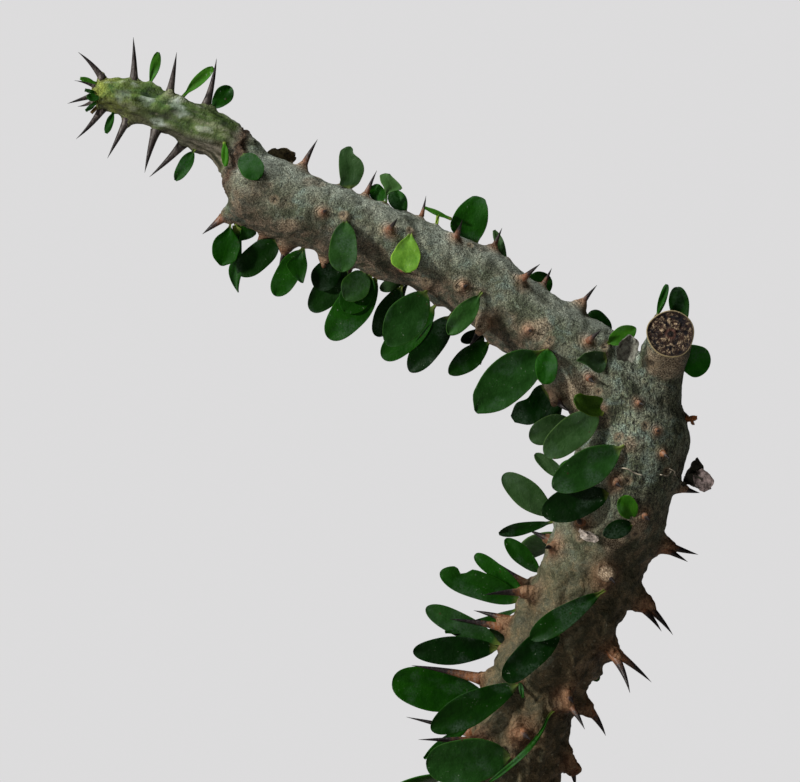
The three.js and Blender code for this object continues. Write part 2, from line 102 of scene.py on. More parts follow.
NEW_GROWTH = [
    (-33, -5.2, 374.5, 5.2), (-37.5, -5, 378, 5.7), (-41.2, -4.8, 382.6, 5.5), (-45, -4.6, 386, 5.2),
    (-50, -4.3, 388.4, 5.1), (-55, -4.1, 391.1, 4.8), (-60, -3.9, 393, 4.6), (-65, -3.7, 394.9, 4.3),
    (-70, -3.5, 396.4, 3.8), (-73.7, -3.5, 396.8, 3.2), (-76.3, -3.5, 396.8, 1.9),
]
STUB = [
    (57.5, 2, 310, 11.2), (60.5, 1, 317.5, 9.8), (63.4, -1.5, 324, 7.5), (65.2, -4.5, 329, 6.1),
    (66, -8.5, 333, 5.9), (66.6, -12, 335.5, 5.9), (66.9, -14.6, 336.6, 5.95),
]

# Leaves: [name, base x, z, tip x, z, width, side, tip towards the back by, turn in degrees, bow,
# cup, fullness at the base, fullness at the tip, tint]. An arm_leaf_1 stands for a leaf_arm_1 of
# the CAD where there is one.
LEAVES = [
    ("bud_leaf_1", -75.25, 398.5, -79.75, 400.75, 1.5, EDGE, -1, 0, 0.5, 0.2, 0.7, 0.5, "fresh"),
    ("bud_leaf_2", -75.75, 397, -78.5, 397.75, 1, FRONT, 0, 0, 0.2, 0.1, 0.7, 0.5, "dark"),
    ("bud_leaf_3", -74.75, 395.5, -78, 396, 2, FRONT, -1, 10, 0.3, 0.2, 0.7, 0.6, "mid"),
    ("bud_leaf_4", -75.5, 394.75, -78.25, 392.5, 1.2, FRONT, -1, 0, 0.3, 0.1, 0.7, 0.6, "mid"),
    ("bud_leaf_5", -75.25, 394, -77, 392, 1, FRONT, 0, 0, 0.2, 0.1, 0.7, 0.6, "rust"),
    ("tip_leaf_4", -71.25, 392.75, -73.25, 387, 2, EDGE, -1, 0, 0.4, 0.3, 0.8, 0.5, "mid"),
    ("tip_leaf_1", -62.25, 399.5, -60.25, 407.25, 2.5, EDGE, -1, 0, -1.2, 0.3, 0.8, 0.5, "fresh"),
    ("tip_leaf_2", -54.5, 395.75, -46.5, 403.25, 2.8, FRONT, -3, 0, 1.5, 0.5, 1.1, 0.5, "fresh"),
    ("tip_leaf_3", -46.75, 393, -42.25, 398.75, 4.5, BACK, 2, 0, 0.4, 0.5, 0.6, 0.5, "mid"),
    ("tip_leaf_5", -51.25, 382.5, -56, 375.25, 3.5, BACK, 1, 0, 0.5, 0.5, 0.6, 0.6, "mid"),
    ("tip_leaf_6", -43.5, 384.5, -43.25, 378.5, 1.9, FRONT, -2, 10, 0.3, 0.2, 0.6, 0.5, "leafy"),
    ("arm_leaf_1", -39.1, 382.1, -34.9, 375.1, 6, FRONT, -4.2, 0, 0.4, 0.5, 0.5, 0.45, "mid"),
    ("arm_leaf_21", -11.9, 373.1, -12.8, 383.8, 6.8, BACK, 1, 0, 0.4, 0.5, 0.45, 0.75, "grey"),
    ("arm_leaf_22", -3.3, 370.6, -2.6, 376.9, 5, EDGE, -1, 0, 0.3, 0.2, 0.6, 0.5, "pale"),
    ("arm_leaf_26", -3.5, 370.75, -6.75, 374, 4, BACK, 2, 0, 0.4, 0.3, 0.6, 0.5, "mid"),
    ("arm_leaf_27", 1.9, 367.1, -2.3, 372.6, 4.4, BACK, 2, 0, 0.4, 0.3, 0.6, 0.5, "mid"),
    ("arm_leaf_32", 12.8, 365.7, 6.2, 368.5, 1.3, HELD, 0, 0, 0.3, 0.1, 0.6, 0.5, "fresh"),
    ("arm_leaf_32_stalk", 9.3, 364.6, 9.5, 366.8, 0.8, BACK, 0, 0, 0.1, 0, 0.3, 0.3, "stalk"),
    ("arm_leaf_23", 19.3, 358.8, 18.5, 371.6, 9.5, BACK, 1, 0, 0.6, 0.6, 0.6, 0.5, "mid"),
    ("arm_leaf_24", 27.25, 355.75, 23.5, 363, 2.2, BACK, 2, 0, -0.8, 0.3, 0.7, 0.5, "grey"),
    ("arm_leaf_25", 30.8, 347.6, 38, 350.9, 6.4, BACK, 1, 0, 0.4, 0.4, 0.5, 0.5, "mid"),
    ("elbow_leaf_1", 52.4, 335.2, 48, 342.9, 5.6, BACK, 1, 0, 0.4, 0.3, 0.5, 0.5, "dark"),
    ("elbow_leaf_2", 51.5, 334.4, 58.6, 338.4, 4.4, FRONT, -2.4, 0, 0.8, 0.5, 0.6, 0.5, "leafy"),
    ("stub_leaf_1", 63.8, 341, 66.3, 349.2, 2, BACK, 2, 0, 0.5, 0.2, 0.5, 0.4, "mid"),
    ("elbow_leaf_8", 69.75, 338.5, 69, 348.6, 5, BACK, 2, 0, 0.4, 0.4, 0.4, 0.4, "dark"),
    ("elbow_leaf_9", 68.5, 332.5, 77.25, 328.75, 8, BACK, 1, 0, 0.4, 0.4, 0.6, 0.5, "vivid"),
    ("arm_leaf_2", -42.5, 363.6, -44.5, 353.9, 6.8, EDGE, -2, 0, 0.6, 0.6, 0.6, 0.5, "bright"),
    ("arm_leaf_28", -42, 361.5, -36, 361.9, 3, BACK, 2, 0, 0.6, 0.3, 0.6, 0.6, "mid"),
    ("arm_leaf_3", -42.6, 355.8, -40.3, 347.3, 3.5, BACK, 1, 0, -1.2, 0.4, 0.5, 1.1, "mid"),
    ("arm_leaf_4", -30.1, 359.3, -40.4, 351.9, 6.9, BACK, 1, 0, 0.5, 0.5, 0.5, 0.5, "dark"),
    ("arm_leaf_5", -24.4, 357.9, -24.2, 349.6, 5.8, EDGE, -2, 0, 0.4, 0.5, 0.55, 0.45, "mid"),
    ("arm_leaf_6", -25, 355, -31.25, 346.5, 6.2, BACK, -1, 0, 0.4, 0.5, 0.6, 0.5, "mid"),
    ("arm_leaf_7", -15.5, 355, -21, 348.25, 7, BACK, 0, 0, 0.5, 0.5, 0.55, 0.55, "deep"),
    ("arm_leaf_8", -13.5, 352, -22.25, 342.75, 6.8, BACK, 3, 0, 0.5, 0.5, 0.6, 0.5, "dark"),
    ("arm_leaf_9", -13.75, 366, -14.25, 352.25, 7.2, FRONT, -4, 0, 0.4, 0.5, 0.7, 0.45, "blue"),
    ("arm_leaf_10", -8.5, 352.75, -13.5, 345.25, 7, EDGE, -3, 0, 0.5, 0.5, 0.5, 0.5, "blue"),
    ("arm_leaf_29", -7.25, 351, -14, 342.5, 7.8, EDGE, -1, 0, 0.5, 0.5, 0.5, 0.5, "mid"),
    ("arm_leaf_11", -6.5, 349.5, -17.75, 335.75, 9, EDGE, 0, 0, 0.6, 0.5, 0.6, 0.5, "mid"),
    ("arm_leaf_12", 1, 349.5, -6, 336.5, 6.2, BACK, 2, 0, 0.5, 0.5, 0.6, 0.5, "dark"),
    ("arm_leaf_13", 6.75, 348.4, -3.1, 334, 9.6, FRONT, -3, 0, 0.6, 0.6, 0.6, 0.55, "forest"),
    ("arm_leaf_14", 7.5, 341, -4.25, 330.75, 7.5, EDGE, 2, 0, 0.6, 0.6, 0.6, 0.5, "mid"),
    ("arm_leaf_15", 12.25, 341, 2.5, 327.5, 7, BACK, 1, 0, 0.5, 0.5, 0.6, 0.55, "deep"),
    ("arm_leaf_20", 2.8, 362, 1.2, 352.1, 7.2, FRONT, -4.5, 0, 0.3, 0.4, 0.8, 0.18, "lime"),
    ("arm_leaf_16", 20.25, 347.25, 12, 336.8, 5.4, FRONT, -5, 0, 0.4, 0.5, 0.75, 0.5, "blue"),
    ("arm_leaf_30", 22.25, 338, 15.25, 335.25, 3.2, BACK, 0, 0, 0.4, 0.3, 0.6, 0.5, "deep"),
    ("arm_leaf_17", 22.3, 334.4, 12.2, 327, 5.7, FRONT, -1, 0, 0.5, 0.5, 0.65, 0.55, "dark"),
    ("arm_leaf_18", 36.1, 333.4, 19, 317.3, 11, FRONT, -5, 0, 0.8, 0.8, 0.7, 0.5, "forest"),
    ("arm_leaf_19", 36.7, 333.9, 36.1, 324.5, 5.6, FRONT, -6, 0, 0.3, 0.4, 0.6, 0.4, "mid"),
    ("elbow_leaf_3", 51, 332.2, 43.8, 330.3, 5.8, FRONT, -4, 0, 0.4, 0.8, 0.6, 0.4, "grey"),
    ("arm_leaf_31", 1, 350.5, -5, 348.25, 3.2, BACK, 1, 0, 0.3, 0.3, 0.5, 0.5, "grey"),
    ("elbow_leaf_6", 37.7, 322.5, 27.8, 316.3, 7.2, BACK, -2, 0, 0.5, 0.6, 0.6, 0.5, "deep"),
    ("elbow_leaf_10", 39.2, 323.5, 36.7, 314.4, 5, BACK, 0, 0, 0.5, 0.4, 0.5, 0.5, "deep"),
    ("elbow_leaf_11", 41.5, 321.2, 38.6, 318.7, 3, BACK, 1, 0, 0.2, 0.2, 0.5, 0.5, "deep"),
    ("elbow_leaf_7", 43, 316.5, 32.5, 310.5, 6.5, BACK, 0, 0, 0.5, 0.5, 0.6, 0.5, "grey"),
    ("elbow_leaf_4", 50.8, 318.9, 42.9, 320.2, 4.4, FRONT, -4, 0, 0.3, 0.3, 0.4, 0.2, "olive"),
    ("elbow_leaf_5", 50, 318.5, 36, 306.75, 8.2, FRONT, -2.6, 0, 0.5, 0.6, 0.6, 0.5, "grey"),
    ("trunk_leaf_13", 41.5, 300.5, 33.75, 307, 3.5, BACK, 0, 0, 0.4, 0.3, 0.6, 0.5, "grey"),
    ("trunk_leaf_1", 55.75, 309, 37.75, 298.75, 9.2, FRONT, -2, 0, 0.7, 0.7, 0.65, 0.55, "forest"),
    ("trunk_leaf_2", 52.75, 298, 35.25, 292.25, 8.2, FRONT, 0, 0, 0.6, 0.6, 0.6, 0.5, "deep"),
    ("trunk_leaf_3", 37.25, 291.75, 25.75, 301.75, 6.8, BACK, 0, 0, 0.5, 0.5, 0.6, 0.5, "grey"),
    ("trunk_leaf_4", 36.5, 291, 24.75, 287, 3.2, BACK, -2, 0, -1.4, 0.4, 0.8, 0.5, "dark"),
    ("trunk_leaf_5", 35.75, 276.25, 26.5, 285.5, 4.5, BACK, 0, 0, 0.5, 0.4, 0.6, 0.5, "mid"),
    ("trunk_leaf_6", 58.2, 290.4, 55.2, 296.6, 5, FRONT, -3, 0, 0.3, 0.6, 0.6, 0.35, "leafy"),
    ("trunk_leaf_7", 58, 290, 50.5, 287, 4.5, FRONT, -2.5, 0, 0.3, 0.4, 0.5, 0.5, "deep"),
    ("trunk_leaf_14", 28.2, 273, 18.8, 281.7, 4, BACK, 1, 0, 0.4, 0.4, 0.6, 0.42, "mid"),
    ("trunk_leaf_9", 30, 270.5, 10, 277.25, 7.2, BACK, 0, 0, 1, 0.5, 0.6, 0.5, "mid"),
    ("trunk_leaf_15", 19.5, 262, 6.5, 268.25, 6.2, BACK, 1, 0, 0.5, 0.5, 0.6, 0.5, "forest"),
    ("trunk_leaf_16", 30.25, 268.5, 11.25, 262.25, 2.8, EDGE, -1, 20, -3, 0.3, 0.7, 0.6, "mid"),
    ("trunk_leaf_10", 23.25, 259, 3.25, 257.25, 7, EDGE, 0, 0, 0.6, 0.6, 0.6, 0.5, "deep"),
    ("trunk_leaf_11", 23, 245, -2, 249.5, 11, BACK, 0, 0, 0.8, 0.8, 0.7, 0.45, "bright"),
    ("trunk_leaf_12", 30.25, 250.25, 7.75, 238.25, 8.2, FRONT, -2, 0, 0.8, 0.6, 0.7, 0.5, "dark"),
    ("trunk_leaf_8", 51.2, 273, 32.4, 261, 6, FRONT, -3, 8, 1.5, 0.5, 0.8, 0.45, "dark"),
    ("trunk_leaf_17", 40, 264.5, 26, 250.8, 7.4, FRONT, -3, 0, 0.6, 0.6, 0.45, 0.4, "deep"),
    ("trunk_leaf_18", 29.75, 250.5, 30.75, 246.25, 1.2, FRONT, -2, 0, 0.3, 0.2, 0.5, 0.5, "mid"),
    ("trunk_leaf_19", 38.8, 243, 21.5, 225, 2.6, FRONT, -7, 20, 2.6, 0.3, 0.6, 0.5, "mid"),
    ("trunk_leaf_20", 18.7, 239.6, 6, 230.6, 3, EDGE, -4, 0, 0.6, 0.4, 0.7, 0.6, "mid"),
    ("base_leaf_1", 28.5, 231.25, 6.5, 229.75, 11.5, FRONT, -4, 0, 0.8, 0.8, 0.6, 0.45, "forest"),
    ("trunk_leaf_21", 47, 255, 50, 249.5, 3, BACK, 1, 0, 0.4, 0.3, 0.5, 0.5, "mid"),
    ("base_leaf_2", 5, 185, -12, 194, 8.4, FRONT, -2, 0, 0.6, 0.6, 0.6, 0.5, "mid"),
]

# Spines: [base x, z, tip x, z, side, tip towards the back by, radius and height of the swollen
# foot, radius of the spine]
BUD_SPINES = [
    (-74, 400.5, -80.25, 407.25, EDGE, -1, 2.4, 1.6, 1),
    (-66.5, 399.5, -66.5, 411, EDGE, -1, 2.4, 2, 1.05),
    (-57.5, 396.25, -55.5, 407, FRONT, -2, 2.6, 2, 1.05),
    (-48.5, 393.5, -45.75, 405.75, BACK, 1, 3, 2.6, 1.1),
    (-76, 398.5, -81, 400, FRONT, -2, 1, 0.6, 0.5),
    (-77, 396.25, -82.75, 394.25, FRONT, -2, 1.4, 0.8, 0.7),
    (-76.5, 395.25, -80.75, 394, BACK, 4, 1.2, 0.6, 0.6),
    (-74.25, 393, -80.75, 385.5, FRONT, -2, 2.4, 1.6, 1),
    (-67.75, 391, -73, 380.75, EDGE, 0, 2.6, 2.4, 1.1),
    (-60.5, 388.5, -63.5, 377, FRONT, -2, 2.8, 3, 1.2),
    (-53.5, 385.5, -62.75, 376.25, BACK, 1, 3, 3.4, 1.2),
]
ARM_SPINES = [
    (-24.5, 378, -20.5, 385.5, EDGE, 0, 3.4, 2.4, 0.95),
    (-14.75, 373.5, -13.75, 376, BACK, 3, 2, 1, 0.7),
    (-8.25, 372.5, -5.75, 377.75, EDGE, -1, 2.6, 1.4, 0.75),
    (5.75, 367.25, 6.5, 371.5, BACK, 1, 2.2, 1.6, 0.6),
    (13.75, 360.75, 15.5, 365.25, FRONT, -4, 2.6, 1.4, 0.8),
    (23, 358, 25.5, 363.5, EDGE, 0, 3.2, 2.4, 0.8),
    (30.25, 350.25, 34.75, 354.25, FRONT, -4, 3.2, 2, 0.9),
    (36.5, 350.5, 38, 353.5, BACK, 3, 2.4, 1, 0.7),
    (44.5, 343.25, 49.25, 349.25, EDGE, -1, 4.2, 3.2, 0.85),
    (46.75, 335, 50, 338, FRONT, -2.6, 2.6, 1.4, 0.9),
    (-2.75, 362.5, -0.5, 365.6, FRONT, -3.4, 2.4, 1.2, 0.9),
    (-19.25, 367, -18, 367.6, FRONT, -1.8, 2, 1, 0.6),
    (0.5, 353, 2.3, 352.4, FRONT, -1.6, 1.8, 0.8, 0.6),
    (15.75, 348.75, 17, 349.2, FRONT, -1.8, 2.2, 1.1, 0.6),
    (-43.4, 366.4, -49.25, 361.8, HELD, 0, 2.6, 2.2, 1.15),
    (-27.75, 360.5, -30.25, 353.5, EDGE, 0, 4.2, 3.6, 1),
    (-18.25, 357.5, -18.75, 354, EDGE, -1, 3.2, 2.6, 0.9),
    (-12, 355, -13, 350.25, BACK, 2, 2.6, 1.2, 0.9),
    (-34.25, 361.5, -36.25, 358.75, BACK, 3, 2.4, 1, 0.9),
    (21.75, 340.5, 17, 333.5, FRONT, -2, 4.6, 4.2, 1.5),
    (39, 322.5, 42.75, 317.5, FRONT, -3, 3.6, 3, 1.3),
    (47, 326, 48.2, 324.8, FRONT, -2, 2.4, 1.1, 0.8),
    (0, 352, -4, 349.25, BACK, 2, 2.4, 1, 0.8),
    (32, 338, 32.75, 337.5, FRONT, -2.4, 2.8, 1.4, 0.6),
]
TRUNK_SPINES = [
    (59.2, 319.8, 60.4, 319.3, FRONT, -1.4, 2, 0.9, 0.6),
    (63.7, 313, 64.1, 312.6, FRONT, -1.2, 2, 1, 0.5),
    (65.1, 307.3, 66.8, 305.9, FRONT, -2.2, 2, 1.2, 0.8),
    (53.5, 300.3, 54.8, 298.9, FRONT, -3, 3, 1.8, 0.9),
    (60.5, 292, 62, 290.6, FRONT, -3.4, 2.8, 1.8, 0.9),
    (45.5, 290, 44, 291, FRONT, -3.5, 3.4, 2.2, 1.1),
    (69, 316, 71.6, 316.2, EDGE, 0, 2, 1, 0.6),
    (69, 298.75, 75, 297.25, EDGE, -1, 3, 2, 1.1),
    (63, 285.5, 74.75, 281.75, EDGE, 0, 5.6, 4.2, 1.35),
    (63.75, 284.5, 72, 280, EDGE, -3, 4.6, 3.4, 1.2),
    (55.5, 272.5, 68.5, 261.5, EDGE, 0, 5.6, 4.8, 1.45),
    (56, 271.5, 65.5, 262.5, EDGE, -3, 4.6, 3.6, 1.3),
    (51.5, 259, 57.25, 247.5, FRONT, -5, 5, 4.4, 1.45),
    (49.5, 259.5, 63.25, 249.5, EDGE, 2, 5.2, 3.4, 1.25),
    (43, 245.5, 51.75, 236, EDGE, 1, 5.6, 4.6, 1.4),
    (41.5, 245.5, 46, 238.5, FRONT, -4, 4.6, 3.2, 1.2),
    (35, 232.5, 44, 222.5, EDGE, 1, 5.4, 4.4, 1.4),
    (51.5, 277.25, 53.4, 275, FRONT, -3.6, 5.2, 2.6, 1),
    (41.5, 247, 43.2, 245, FRONT, -4, 4.4, 2.4, 1),
    (30.5, 237.5, 32.5, 236, FRONT, -4, 4.8, 2.6, 1.1),
    (40.5, 284.25, 32.25, 287.75, BACK, 0, 4.6, 3.6, 1.35),
    (39, 284, 36, 283.5, FRONT, -3, 4, 2.4, 1.1),
    (33.75, 273, 23, 280.5, BACK, 1, 4.8, 3.8, 1.4),
    (33.75, 272, 21, 272, FRONT, -4, 4.6, 4, 1.35),
    (27, 265.5, 18.5, 267.5, BACK, 4, 4.2, 3, 1.2),
    (26, 263.5, 12.25, 265.5, FRONT, -1, 4.8, 3.2, 1.2),
    (23, 249.5, 2.75, 253.75, EDGE, 1, 5.4, 4.4, 1.4),
    (19.5, 236, 1.5, 240.25, BACK, 2, 5, 3.4, 1.3),
    (20.5, 235, 4.5, 235.75, FRONT, -2, 5, 3.2, 1.25),
]

# Spines on the sides that the front hides: [station of TRUNK or ARM, angle round it, length].
# Angle 0 is the stem's outer side and 90 is its back.
HIDDEN_TRUNK_SPINES = [
    (3.6, 20, 13), (3.9, 165, 12), (4.2, 285, 13), (4.6, 80, 13), (5.0, 210, 13), (5.5, 330, 12),
    (5.9, 120, 13), (6.5, 20, 12), (7.0, 75, 13), (8.6, 115, 12), (9.7, 60, 13), (10.6, 110, 12),
    (11.6, 65, 13), (12.6, 110, 12), (13.5, 70, 12), (14.6, 105, 11), (15.6, 60, 11),
]
HIDDEN_ARM_SPINES = [
    (2.2, 100, 9), (3.1, 65, 9), (4.0, 110, 9), (5.0, 75, 8), (6.0, 120, 8), (7.0, 80, 8),
    (8.1, 60, 8), (9.0, 115, 8), (10.2, 85, 8),
]

# Leaves on those sides, and low on the stem: [name, station, angle, length, width, tint]
HIDDEN_TRUNK_LEAVES = [
    ("low_leaf_1", 4.35, 190, 19, 8.5, "dark"), ("low_leaf_2", 5.2, 150, 22, 9.5, "mid"),
    ("low_leaf_3", 6.1, 230, 20, 9, "bright"), ("low_leaf_4", 6.8, 170, 22, 10, "mid"),
    ("back_leaf_1", 8.1, 125, 20, 9, "mid"), ("back_leaf_2", 9.2, 100, 18, 8.5, "dark"),
    ("back_leaf_3", 10.2, 140, 19, 9, "mid"), ("back_leaf_4", 11.2, 90, 17, 8, "dark"),
    ("back_leaf_5", 12.2, 135, 18, 8, "grey"), ("back_leaf_6", 13.1, 105, 16, 8, "mid"),
    ("back_leaf_7", 14.2, 130, 16, 7.5, "mid"),
]
HIDDEN_ARM_LEAVES = [
    ("back_leaf_8", 2.6, 120, 15, 7.5, "mid"), ("back_leaf_9", 3.6, 90, 14, 7, "dark"),
    ("back_leaf_10", 4.5, 130, 14, 7, "mid"), ("back_leaf_11", 5.5, 100, 13, 7, "mid"),
    ("back_leaf_12", 6.5, 140, 13, 6.5, "dark"), ("back_leaf_13", 7.5, 105, 12, 6.5, "mid"),
    ("back_leaf_14", 8.6, 90, 12, 6, "grey"), ("back_leaf_15", 9.6, 130, 11, 6, "mid"),
]

# Their turn in degrees, bow, cup, and fullness at the base and the tip
HIDDEN_LEAF_SHAPE = (10, 0.7, 0.6, 0.6, 0.5)

# Leaves whose shape is their own: half widths to the left and right of the line from base to
# tip, each row [share of the way, left, right]
OUTLINES = {
    "arm_leaf_2": [(0.16, 1.5, 1.3), (0.34, 3.1, 2.8), (0.65, 3.5, 3.1), (0.9, 2.5, 1.8), (1, 0.6, 0.4)],
    "arm_leaf_3": [(0, 0.8, 1.5), (0.3, 1, 2.5), (0.69, 0.3, 1.8), (0.87, 0.1, 0.9), (1, 0.1, 0.1)],
    "arm_leaf_5": [(0.17, 0.5, 1.9), (0.47, 1, 4.3), (0.65, 0.9, 3.5), (0.87, 0.5, 2), (1, 0.2, 0.5)],
    "arm_leaf_18": [
        (0.08, 1.2, 1.1), (0.2, 3.2, 3.9), (0.34, 4.4, 5.6), (0.5, 4.8, 6.2), (0.65, 4.6, 6),
        (0.8, 3.8, 5), (0.92, 2.1, 3.6), (1, 0.3, 0.9),
    ],
    "arm_leaf_20": [
        (0.1, 0.75, 0.75), (0.27, 1.9, 2.3), (0.5, 3, 3.5), (0.77, 3, 4), (0.92, 2.5, 2.8), (1, 1.4, 0.4),
    ],
    "arm_leaf_21": [
        (0.05, 1.9, 1.4), (0.22, 2.4, 2.9), (0.45, 2.7, 3.6), (0.66, 2.7, 2.8), (0.84, 2.4, 1),
        (0.93, 1.9, 1), (1, 0.5, 0.5),
    ],
    "arm_leaf_22": [
        (0.2, 0.3, 0.4), (0.34, 0.6, 1.5), (0.47, 1, 3.6), (0.6, 1.7, 3.4), (0.78, 2.2, 2),
        (0.93, 2.1, 0.6), (1, 1.1, 0.1),
    ],
    "arm_leaf_23": [
        (0.1, 2.4, 0.7), (0.24, 5, 1.9), (0.43, 6.4, 2.9), (0.62, 5.6, 3.2), (0.82, 3.7, 3),
        (0.95, 1.5, 2.1), (1, 0.3, 0.6),
    ],
    "scrap_elbow": [
        (0.05, 1.4, 0.8), (0.2, 2.6, 1.4), (0.45, 3.1, 1.9), (0.75, 2.7, 2.2), (0.95, 2.1, 2),
        (1, 1.4, 1.4),
    ],
    "trunk_leaf_19": [
        (0.06, 0.3, 0.3), (0.25, 2.1, -1.2), (0.5, 3.2, -1.8), (0.75, 2.6, -1.2), (0.92, 1.4, -0.4),
        (1, 0.3, -0.1),
    ],
    "arm_leaf_28": [(0.1, 1, 3), (0.37, 1.2, 2.8), (0.7, 1.2, 1.8), (0.9, 0.8, 0.9), (1, 0.2, 0.2)],
    "elbow_leaf_3": [
        (0.03, 1.4, 0.2), (0.15, 3.4, 0.4), (0.38, 4.6, 1), (0.63, 3.6, 1.2), (0.78, 2, 1.2), (1, 0.2, 0.2),
    ],
    "elbow_leaf_4": [(0.02, 1.7, 1.7), (0.1, 2.2, 2), (0.72, 2.2, 2.1), (0.88, 1.7, 2.2), (1, 0.3, 1.7)],
    "elbow_leaf_6": [
        (0, 0.8, 2), (0.1, 2.5, 2.7), (0.26, 3.7, 2.8), (0.5, 4.5, 1.7), (0.8, 4, 2.1), (1, 1.7, 0.3),
    ],
}

# It has a bite out of its edge
BITTEN_LEAF = "trunk_leaf_9"

# Crumbs of bark in the ring where the new growth starts: [x, z, radius]
KNOBS = [
    (-39.2, 385, 1.5), (-37.6, 386, 1), (-36.4, 384.7, 1.2), (-40.6, 383.6, 0.9), (-41.5, 379.5, 0.9),
    (-42.2, 377.2, 0.8), (-43.6, 378, 0.7),
]

# Patches of sandy bark: [x, z, radius]; those at [52, 277.5] and [53.8, 284.2] are partly painted light.
SANDY_AND_LIT = [
    (64.5, 329, 6), (69, 328, 3), (43.5, 321.5, 6), (34.5, 337.5, 3), (57, 309.5, 2.5), (60.5, 288, 3),
    (52, 277.5, 3), (54, 306, 2), (20.5, 339.8, 2.2), (53.8, 284.2, 3), (-28.2, 363, 2.4),
]

# Whitish wax bloom on the new growth, partly painted highlight: [x, z, radius]
BLOOMS_AND_HIGHLIGHTS = [
    (-69.8, 397.2, 2), (-69.6, 395.4, 1.4), (-64.2, 395.9, 1.2), (-62.2, 395.2, 1.2), (-66, 399.5, 1.3),
    (-55.5, 394.3, 2), (-53.6, 392.6, 1.4), (-59.8, 389, 1.6),
]

# Brown bark on the arm: [x, z, radius]
BROWN = [
    (-40, 370, 5), (-34, 372.5, 3.5), (-36, 364, 5), (-27, 362.5, 4), (-19, 360, 4), (-28, 369.5, 2.5),
    (-9, 357, 4), (1, 352.5, 4), (9, 349.5, 3), (-20.5, 376, 2.5), (17, 347, 3), (19, 360, 2.5),
    (27, 337, 5), (24, 342, 3), (48, 316, 4), (32, 349, 2.5),
]

# Bare buds and scars on the bark: [x, z, radius]
SCARS = [
    (62.3, 329.4, 3), (-31, 369.75, 2.0), (-20.4, 376.6, 1.6), (-13.75, 367, 1.8), (-3.2, 370.4, 1.5),
    (6, 349.6, 1.8), (14.2, 348, 1.8), (17.8, 359.8, 1.6), (36.8, 335, 2.2), (61.5, 314.5, 2),
    (53.8, 311.5, 2.2), (66.8, 302.2, 2.0), (59.2, 287, 2.2), (44.3, 286.5, 2.0), (2.9, 363, 1.5),
    (50.8, 334.2, 1.6), (57.2, 300.5, 2.0), (49, 322.5, 1.6),
]

# Pale strands that hang on the bark: places [x, z] along each
STRANDS = [
    [(54.2, 303.7), (56.4, 303.6), (58.2, 302.5), (59.9, 302)],
    [(66.6, 303.6), (67.5, 303.1), (68.2, 301.8)],
    [(64.4, 302.1), (66, 301.9), (67.2, 303)],
    [(46, 287.4), (47.2, 286.6), (49, 286)],
]

# Withered leaves: CAD node, colour, and for each lobe [base x, z, tip x, z, width, depth of base
# and tip, turn in degrees, curl]
DRIED = {
    "scrap_elbow": (
        "dried_leaf_elbow", (0.23, 0.235, 0.2), [(56.2, 330.4, 57.4, 336.6, 5, -10.5, -13, 0, 2.2)]
    ),
    "scrap_side": (
        "dried_leaf_side",
        (0.035, 0.035, 0.025),
        [(70.2, 299.6, 74.4, 306, 4, -1, -2, 25, 2), (71, 301, 75.5, 299, 3, -1, -3, -8, 1)],
    ),
    "scrap_lobe": (None, (0.27, 0.21, 0.21), [(74, 303, 77.6, 298.2, 4.8, -2, -3.4, 12, 0.8)]),
    "scrap_arm": ("dried_leaf_arm", (0.26, 0.2, 0.11), [(-35, 382, -26, 381.6, 4.4, 0, 0, 15, 1.6)]),
    "dried_thorn": (
        None,
        (0.55, 0.2, 0.07),
        [
            (70.6, 315.8, 74.3, 316.4, 1.2, 0.5, -0.5, 20, 0.3),
            (71.6, 316.2, 73.4, 314.6, 0.8, 0, -1, 0, 0.2),
        ],
    ),
    "bark_flake": (None, (0.66, 0.58, 0.53), [(44.8, 288.4, 49.3, 285.7, 2.4, -9.4, -11, 25, 0.5)]),
}

# Leaf colours; the darkest, dark and deep, are partly painted shade for leaves that sit in shadow.
LEAF_TINTS = {
    "blue": (0.022, 0.072, 0.015),
    "forest": (0.011, 0.045, 0.008),
    "mid": (0.008, 0.054, 0.003),
    "dark": (0.004, 0.028, 0.0015),
    "deep": (0.0015, 0.014, 0.0008),
    "grey": (0.030, 0.070, 0.024),
    "bright": (0.005, 0.042, 0.0008),
    "fresh": (0.035, 0.135, 0.010),
    "pale": (0.055, 0.120, 0.042),
    "leafy": (0.028, 0.115, 0.006),
    "vivid": (0.014, 0.125, 0.005),
    "stalk": (0.190, 0.270, 0.040),
    "lime": (0.110, 0.240, 0.028),
    "olive": (0.040, 0.095, 0.008),
    "rust": (0.060, 0.040, 0.015),
}

# Pot, as in the CAD
POT_HEIGHT = 150.0
POT_RIM_RADIUS = 85.0
POT_FOOT_RADIUS = 58.0
POT_WALL = 7.0
RIM_BAND = 30.0
RIM_STEP = 4.0
DRAIN_RADIUS = 7.0

# Potting mix
SOIL_Z = 136.0
SOIL_CROWN = 2.5
SOIL_RADIUS = 73
SOIL_FOOT_Z = POT_WALL + 0.6
SEAT_GAP = 0.3

# Grit on it: [name, count, smallest and largest radius, colours]
GRIT = [
    ("pumice_grit", 300, (0.8, 2.1), [(0.42, 0.38, 0.31), (0.33, 0.3, 0.26), (0.5, 0.45, 0.37)]),
    ("dark_grit", 420, (0.6, 1.9), [(0.07, 0.055, 0.045), (0.12, 0.095, 0.08), (0.05, 0.03, 0.022)]),
    ("chips", 130, (1.2, 3.0), [(0.13, 0.07, 0.035), (0.19, 0.11, 0.06), (0.08, 0.045, 0.025)]),
]
CHIP_SHAPE = [1.5, 0.7, 0.35]
GRIT_SPREAD = 71
GRIT_REACH = 73.5
TRUNK_FOOT = (4, 3)
TRUNK_FOOT_RADIUS = 14.5

MM = 0.001
rng = np.random.default_rng(20)


def smoothstep(low, high, value):
    """Rises smoothly from 0 at low to 1 at high."""
    share = np.clip((value - low) / (high - low), 0, 1)
    return share * share * (3 - 2 * share)


def unit(v):
    return v / max(np.linalg.norm(v), 1e-9)


